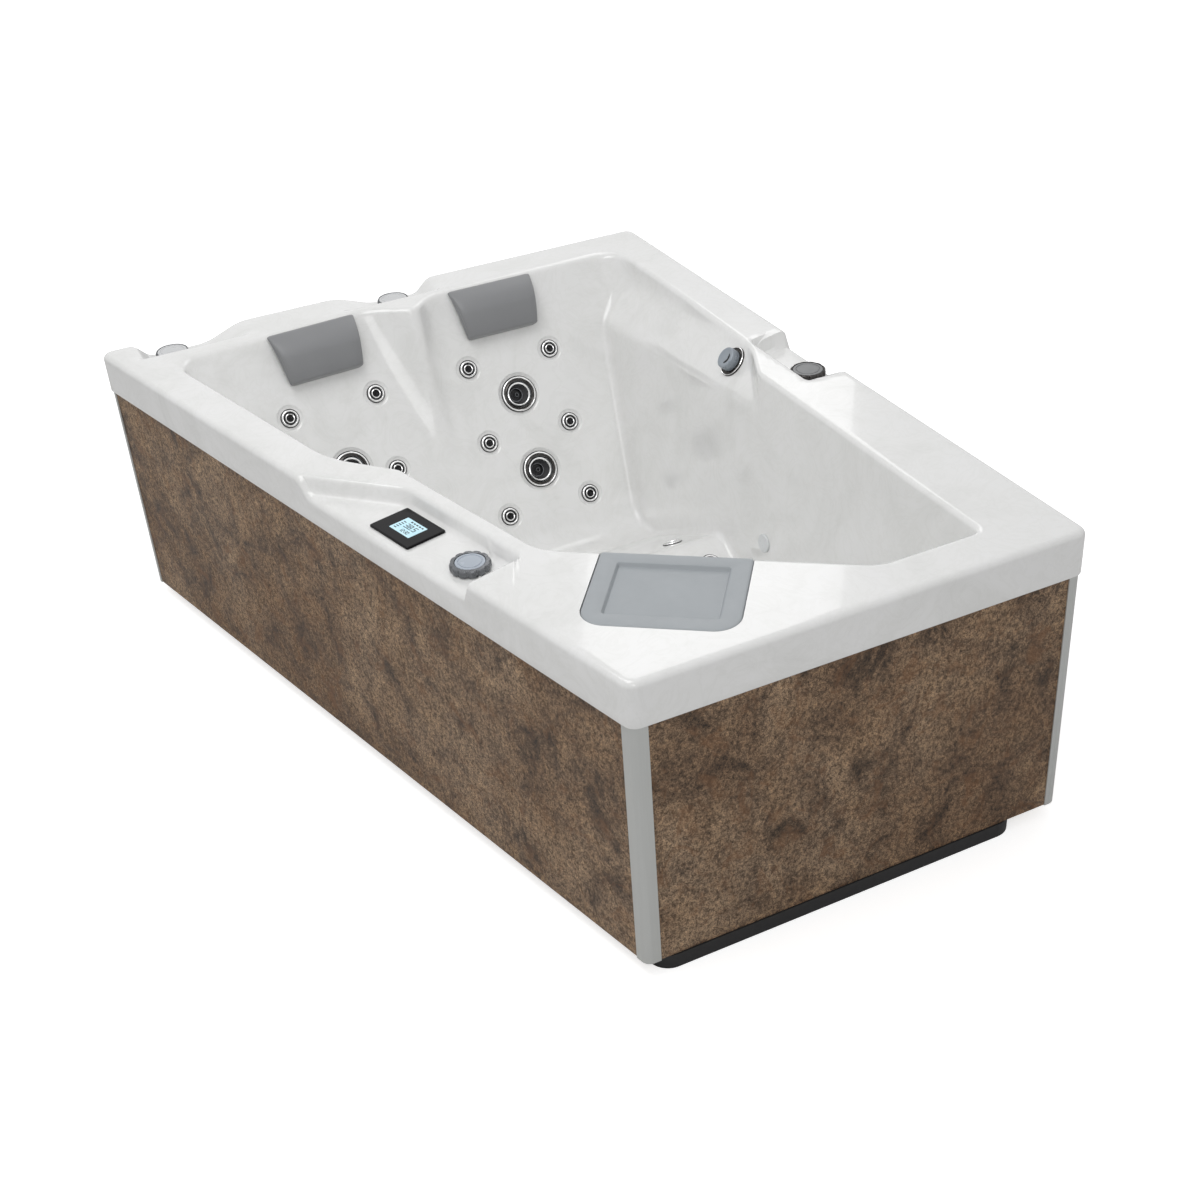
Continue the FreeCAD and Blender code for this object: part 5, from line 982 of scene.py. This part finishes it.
def hump_fittings():
    """Two small chromed jet faces with black middle discs and a thin dark ring of painted shade round each, flat
    on the slopes of the knee hump.
    """
    rings, middles = [], []
    for (x, y), slope in HUMP_FITTINGS:
        normal = unit(slope)
        drop = (x - HUMP_X) * normal[0] / normal[2]
        origin = (x, y, FLOOR + HUMP_HEIGHT - drop)
        rings.append(turned_ring(HUMP_RING, 64, origin, normal))
        # Dark ring round the face ring: painted shade where the ring meets the hump.
        middles.append(turned_ring(HUMP_EDGE_SHADE, 64, origin, normal))
        middles.append(turned_plug(HUMP_MIDDLE, 48, origin, normal))
    piece("hump_jet_faces", rings, FINISHES["chromed"], "tub", 40)
    piece("hump_jet_middles_and_edge_shade", middles, FINISHES["dark_plastic"], "tub", 40)


# ---------------------------------------------------------------- rim caps and the wall knob
DENTS = 12
DENT_DEPTH = 0.075
GRIP_ROWS = 6
GROOVE_PLACE = 0.76
# Each cap's face: its finish, record slot and radius.
CAP_FACES = {
    "diverter_knob": (CAP_BLUE, "cap_grey", 0.0345),
    "air_knob_left": (CAP_PALE, "cap_grey", 0.0415),
    "air_knob_middle": (CAP_PALE, "cap_grey", 0.0415),
    "air_knob_back": (CAP_DARK, "dark_plastic", 0.0395),
}


def scallops(angle, rows):
    """Radius factor 1 - d (0.5 + 0.5 cos 12 a)^3 on the grip's rows, which gives twelve finger dents."""
    depth = np.where(np.arange(rows) < GRIP_ROWS, 1.0, 0.0)[:, None]
    return 1 - depth * (DENT_DEPTH * (0.5 + 0.5 * np.cos(DENTS * angle)) ** 3)


def rim_caps():
    """Scalloped grip ring and inset face, with a groove round it, of each turning cap."""
    for name, (face_finish, face_slot, bore) in CAP_FACES.items():
        x, y = JOINTS[name + "_turn"]["pos_m"][:2]
        origin = np.array([x, y, POCKET_FLOOR + CAP_LIFT])
        radius, height = CAP_RADIUS, CAP_HEIGHT
        grip = [(radius - 0.004, 0.0), (radius - 0.001, 0.0015), (radius, 0.004), (radius, height - 0.006),
                (radius - 0.0010, height - 0.0028), (radius - 0.0024, height - 0.0008),
                (bore + 0.0012, height), (bore + 0.0004, height - 0.0006), (bore, height - 0.0035),
                (bore, height - 0.010), (bore - 0.0045, height - 0.012)]
        skin = SMOKED if face_finish is CAP_DARK else GUNMETAL
        made = piece(name + "_grip", [closed_grid(origin + lathe(grip, 192, scallops))],
                     skin, name, 40)
        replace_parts(made, name)
        groove = bore * GROOVE_PLACE
        face = [(bore - 0.0045, height - 0.0110), (bore - 0.0007, height - 0.0100),
                (bore - 0.0007, height - 0.0022), (bore - 0.0015, height - 0.0010),
                (bore - 0.0045, height - 0.0006), (groove + 0.0016, height - 0.0006),
                (groove + 0.0008, height - 0.0020), (groove - 0.0008, height - 0.0020),
                (groove - 0.0016, height - 0.0006), (groove * 0.6, height + 0.0001), (0.004, height + 0.0003)]
        piece(name + "_face", [closed_grid(origin + lathe(face, 96))], face_finish, name, 40)


FLANGE = [(0.0285, 0.0003), (0.0285, 0.0040), (0.0300, 0.0046), (0.0330, 0.0046), (0.0345, 0.0030),
          (0.0375, 0.0030), (0.0390, 0.0050), (0.0405, 0.0050), (0.0418, 0.0034), (0.0420, 0.0003)]
FLANGE_BEAD = [(0.0386, 0.0030), (0.0388, 0.0052), (0.0398, 0.0060), (0.0408, 0.0052), (0.0410, 0.0030)]
KNOB_GRIP = [(0.0290, 0.0052), (0.0298, 0.0066), (0.0298, 0.0250), (0.0290, 0.0285), (0.0272, 0.0302),
             (0.0250, 0.0308), (0.0228, 0.0300), (0.0170, 0.0290), (0.0080, 0.0286), (0.001, 0.0285)]
KNOB_RIBS = 36
RIB_DEPTH = 0.035
# Thin dark crescent of painted slot shade on the knob's top: its radius, turn, reach, half width, end and two
# levels.
CRESCENT_RADIUS = 0.0160
CRESCENT_TURN = -5.0
CRESCENT_REACH = 1.15
CRESCENT_HALF, CRESCENT_END = 0.0017, 0.0002
CRESCENT_LEVELS = [0.0280, 0.0296]


def knob_ribs(angle, rows):
    """Radius factor 1 - d (0.5 + 0.5 cos 36 a) on the two rows of the knob's straight side."""
    row = np.arange(rows)
    depth = np.where((row >= 1) & (row <= 2), 1.0, 0.0)[:, None]
    return 1 - depth * RIB_DEPTH * (0.5 + 0.5 * np.cos(KNOB_RIBS * angle))


def wall_knob():
    """Round grey knob with a thin dark crescent laid on its top as the painted shade of a finger slot, on a smoked
    flange with one chromed bead.
    """
    joint = JOINTS["wall_knob_turn"]
    origin, axis, start = np.array(joint["pos_m"]), unit(joint["axis"]), (1, 0, 0)
    made = piece("wall_flange", [turned_ring(FLANGE, 96, origin, axis, start)], SMOKED, "tub",
                 40)
    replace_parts(made, "wall_knob_ring")
    piece("wall_flange_bead", [turned_ring(FLANGE_BEAD, 96, origin, axis, start)], FINISHES["chromed"],
          "tub", 40)
    made = piece("wall_knob_grip", [turned_plug(KNOB_GRIP, 216, origin, axis, start, knob_ribs)],
                 FINISHES["cap_grey"], "wall_knob", 40)
    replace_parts(made, "wall_knob")
    # Painted shade: the finger slot is a thin dark crescent sheet standing just proud of the knob's top, not a
    # cut.
    bend = np.linspace(-1.0, 1.0, 25)
    width = CRESCENT_HALF * np.sqrt(np.maximum(1 - bend ** 2, 0)) + CRESCENT_END
    angle = math.radians(CRESCENT_TURN) + bend * CRESCENT_REACH
    spokes = np.stack([np.cos(angle), np.sin(angle)], 1)
    outer = (CRESCENT_RADIUS + width)[:, None] * spokes
    inner = (CRESCENT_RADIUS - width)[:, None] * spokes
    ring = np.concatenate([outer, inner[::-1]])
    slot = closed_grid(placed(stacked([ring, ring], CRESCENT_LEVELS), origin, start, axis))
    piece("wall_knob_slot_shade", [slot], FINISHES["dark_plastic"], "wall_knob", 40)


# ---------------------------------------------------------------- filter lid
TRAY_MARGIN = 0.043
TRAY_START = 0.039
TRAY_CORNER = 0.008
LEAST_CORNER = 0.002


def lid_edge(inset):
    """Plan ring of the lid's edge, drawn in."""
    return lid_ring(-inset, LID_NEAR - inset, max(LID_FAR - inset, LEAST_CORNER))


def lid_tray(grow):
    """Plan ring of the lid's sunk tray, grown all round."""
    run = (LID_START + TRAY_MARGIN - grow, LID_START + LID_LENGTH - TRAY_MARGIN + grow)
    across = (TRAY_START - grow, LID_WIDTH - TRAY_MARGIN + grow)
    radius = max(TRAY_CORNER + grow, LEAST_CORNER)
    return along_lid(rounded_ring(rectangle(run, across), (radius,) * 4, 14))


def filter_lid():
    """Rounded plate with a sunk tray: rings of its plan, each at its height along the profile."""
    low, top = HEIGHT - LID_THICKNESS, HEIGHT
    edge = [(0.004, low), (0.0005, low + 0.0005), (0, low + 0.002), (0, top - 0.004),
            (0.0008, top - 0.0014), (0.0030, top - 0.0003), (0.0060, top)]
    tray = [(0.0020, top), (0.0006, top - 0.0006), (-0.0004, top - 0.0022), (-0.0030, top - 0.0076),
            (-0.0040, top - 0.0088), (-0.0065, top - 0.0088), (-0.016, top - 0.0082)]
    rings = [lid_edge(inset) for inset, _ in edge] + [lid_tray(grow) for grow, _ in tray]
    plate = stacked(rings, [z for _, z in edge + tray])
    made = piece("filter_lid_plate", [closed_grid(plate)], FINISHES["grey_plastic"], "filter_lid",
                 50)
    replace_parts(made, "filter_lid")


# ---------------------------------------------------------------- control display
BEZEL_SIZE, BEZEL_CORNER = (0.150, 0.106), 0.0045
LCD_SIZE, LCD_CORNER = (0.076, 0.054), 0.002
LCD_SHIFT = 0.004
INK_HEIGHT = 0.0005
# Lines of digits: text, left end, base line and height. Segments are lettered a to g.
READOUTS = [("38.5", -0.014, -0.005, 0.015), ("12:30", -0.009, -0.021, 0.009)]
SEGMENTS = {"0": "abcdef", "1": "bc", "2": "abged", "3": "abgcd", "5": "afgcd", "8": "abcdefg"}


def seven_segment(text, x, y, height):
    """Bars of plain digits in plan: each segment is a bar between two corners of a 2 x 1 cell."""
    bar = height * 0.13
    width = height * 0.52
    spots = {"a": (0, height, 1, 0), "g": (0, height / 2, 1, 0), "d": (0, 0, 1, 0),
             "f": (0, height / 2, 0, 1), "b": (width, height / 2, 0, 1),
             "e": (0, 0, 0, 1), "c": (width, 0, 0, 1)}
    bars = []
    for digit in text:
        if digit in ".:":
            rows = (0,) if digit == "." else (height * 0.3, height * 0.7)
            bars += [(x, y + row, bar, bar) for row in rows]
            x += bar * 2.2
            continue
        for segment in SEGMENTS[digit]:
            sx, sy, flat, upright = spots[segment]
            bars.append((x + sx, y + sy, width * flat + bar, height / 2 * upright + bar))
        x += width + bar * 2.4
    return bars


def plate(size, corner, inset):
    """Plan ring of a rounded plate about its middle, drawn in."""
    a, b = size[0] / 2 - inset, size[1] / 2 - inset
    return rounded_ring(rectangle((-a, a), (-b, b)), (corner - inset,) * 4, 8)


def display():
    """Glossy bezel, pale blue screen and dark bars for its digits, on the control shelf."""
    low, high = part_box("display_bezel")
    origin = np.array([(low.x + high.x) / 2, (low.y + high.y) / 2, POCKET_FLOOR + SEAT_GAP])
    height = high.z - low.z

    def laid(rings, levels):
        return closed_grid(placed(stacked(rings, levels), origin, FRONT_RUN, UP))

    profile = [(0.001, 0), (0, 0.0008), (0, height - 0.0022), (0.0006, height - 0.0008),
               (0.0020, height - 0.0001), (0.0070, height)]
    rings = [plate(BEZEL_SIZE, BEZEL_CORNER, inset) for inset, _ in profile]
    bezel = piece("display_glass", [laid(rings, [z for _, z in profile])], FINISHES["black_gloss"],
                  "tub", 40)
    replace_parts(bezel, "display_bezel")
    face = [plate(LCD_SIZE, LCD_CORNER, inset) + (LCD_SHIFT, 0.0) for inset in (0, 0.0002)]
    screen = piece("display_lcd", [laid(face, [height - 0.001, height + 0.0002])],
                   FINISHES["lit_screen"], "tub", 40)
    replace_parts(screen, "display_screen")
    bars = [bar for readout in READOUTS for bar in seven_segment(*readout)]
    bars += [(-0.031, -0.019 + 0.007 * i, 0.009, 0.0025) for i in range(5)]
    bars += [(-0.015 + 0.010 * i, 0.0175, 0.006, 0.0040) for i in range(5)]
    digits = []
    for x, y, length, width in bars:
        ring = np.array(rectangle((x, x + length), (y, y + width))) + (LCD_SHIFT, 0.0)
        digits.append(laid([ring, ring], [height, height + INK_HEIGHT]))
    piece("display_digits", digits, LCD_INK, "tub", 40)


# ---------------------------------------------------------------- stage, light and camera
CAMERA_PLACE = Vector((3.315554, -1.284856, 2.569612))
CAMERA_AZIMUTH = math.radians(66.4765)
CAMERA_ELEVATION = math.radians(32.9849)
CAMERA_ROLL = math.radians(-4.23416)
CAMERA_LENS = 48.894
SENSOR_WIDTH = 36.0
DOME = 0.49
FLOOR_LIFT = 0.64
FLOOR_REACH = 40.0
LAMP_AIM = (0, 0, 0.5)
# Each lamp's place, width, height and watts.
SOFTBOXES = {
    "key": ((0.0, -1.0, 3.9), 2.4, 1.8, 41),
    "fill": ((3.0, -0.9, 2.7), 1.2, 1.2, 9),
    "back": ((-2.4, 1.8, 3.0), 1.2, 2.0, 10),
}


def glow_world():
    """White for camera, mirror and glass rays; a calmer even dome for the light itself."""
    world = bpy.data.worlds.new("studio")
    bpy.context.scene.world = world
    world.use_nodes = True
    nodes, links = world.node_tree.nodes, world.node_tree.links
    background = nodes["Background"]
    background.inputs["Color"].default_value = (1, 1, 1, 1)
    path = nodes.new("ShaderNodeLightPath")
    seen = None
    for ray in ("Is Camera Ray", "Is Glossy Ray", "Is Transmission Ray"):
        if seen is None:
            seen = path.outputs[ray]
            continue
        add = nodes.new("ShaderNodeMath")
        add.operation, add.use_clamp = "ADD", True
        links.new(seen, add.inputs[0])
        links.new(path.outputs[ray], add.inputs[1])
        seen = add.outputs[0]
    level = nodes.new("ShaderNodeMapRange")
    level.inputs["To Min"].default_value = DOME
    level.inputs["To Max"].default_value = 1.0
    links.new(seen, level.inputs["Value"])
    links.new(level.outputs["Result"], background.inputs["Strength"])


def softbox(name, place, width, height, power):
    """Rectangular lamp aimed at the tub's middle."""
    lamp = bpy.data.lights.new(name, "AREA")
    lamp.shape, lamp.size, lamp.size_y, lamp.energy = "RECTANGLE", width, height, power
    thing = bpy.data.objects.new(name, lamp)
    bpy.context.scene.collection.objects.link(thing)
    thing.location = place
    thing.rotation_euler = (Vector(LAMP_AIM) - Vector(place)).to_track_quat("-Z", "Y").to_euler()


def floor():
    """Pale floor, lifted towards white for the camera, that keeps the tub's shadow."""
    f = Finish("pale_floor", (0.86, 0.86, 0.86), 0.9)
    path = f.nodes.new("ShaderNodeLightPath")
    lift = f.nodes.new("ShaderNodeMath")
    lift.operation = "MULTIPLY"
    lift.inputs[1].default_value = FLOOR_LIFT
    f.links.new(path.outputs["Is Camera Ray"], lift.inputs[0])
    f.shader.inputs["Emission Color"].default_value = (1, 1, 1, 1)
    f.links.new(lift.outputs[0], f.shader.inputs["Emission Strength"])
    f.set("Base Color", f.mix(f.noise(3.0), (0.85, 0.85, 0.85), (0.87, 0.87, 0.87)))
    mesh = bpy.data.meshes.new("floor")
    reach = (-FLOOR_REACH, FLOOR_REACH)
    mesh.from_pydata([(x, y, 0) for x, y in rectangle(reach, reach)], [], [(0, 1, 2, 3)])
    thing = bpy.data.objects.new("floor", mesh)
    mesh.materials.append(f.material)
    bpy.context.scene.collection.objects.link(thing)


def camera():
    """Camera at the photograph's place, turned by azimuth, elevation and roll."""
    back = Vector((math.sin(CAMERA_AZIMUTH) * math.cos(CAMERA_ELEVATION),
                   -math.cos(CAMERA_AZIMUTH) * math.cos(CAMERA_ELEVATION), math.sin(CAMERA_ELEVATION)))
    right = (-back).cross(Vector((0, 0, 1))).normalized()
    up = right.cross(-back)
    x_axis = right * math.cos(CAMERA_ROLL) + up * math.sin(CAMERA_ROLL)
    y_axis = -right * math.sin(CAMERA_ROLL) + up * math.cos(CAMERA_ROLL)
    data = bpy.data.cameras.new("photo")
    data.lens, data.sensor_width = CAMERA_LENS, SENSOR_WIDTH
    thing = bpy.data.objects.new("photo", data)
    bpy.context.scene.collection.objects.link(thing)
    turn = Matrix((x_axis, y_axis, back)).transposed().to_4x4()
    thing.matrix_world = Matrix.Translation(CAMERA_PLACE) @ turn
    bpy.context.scene.camera = thing


dress_cad_nodes()
tub_shell(FINISHES["acrylic"])
for which in ("left", "right"):
    pillow(which)
jets()
rotors()
hump_fittings()
rim_caps()
wall_knob()
filter_lid()
display()
floor()
glow_world()
for lamp_name, (lamp_place, *lamp_size) in SOFTBOXES.items():
    softbox(lamp_name, lamp_place, *lamp_size)
camera()
bpy.context.scene.view_settings.view_transform = "Standard"
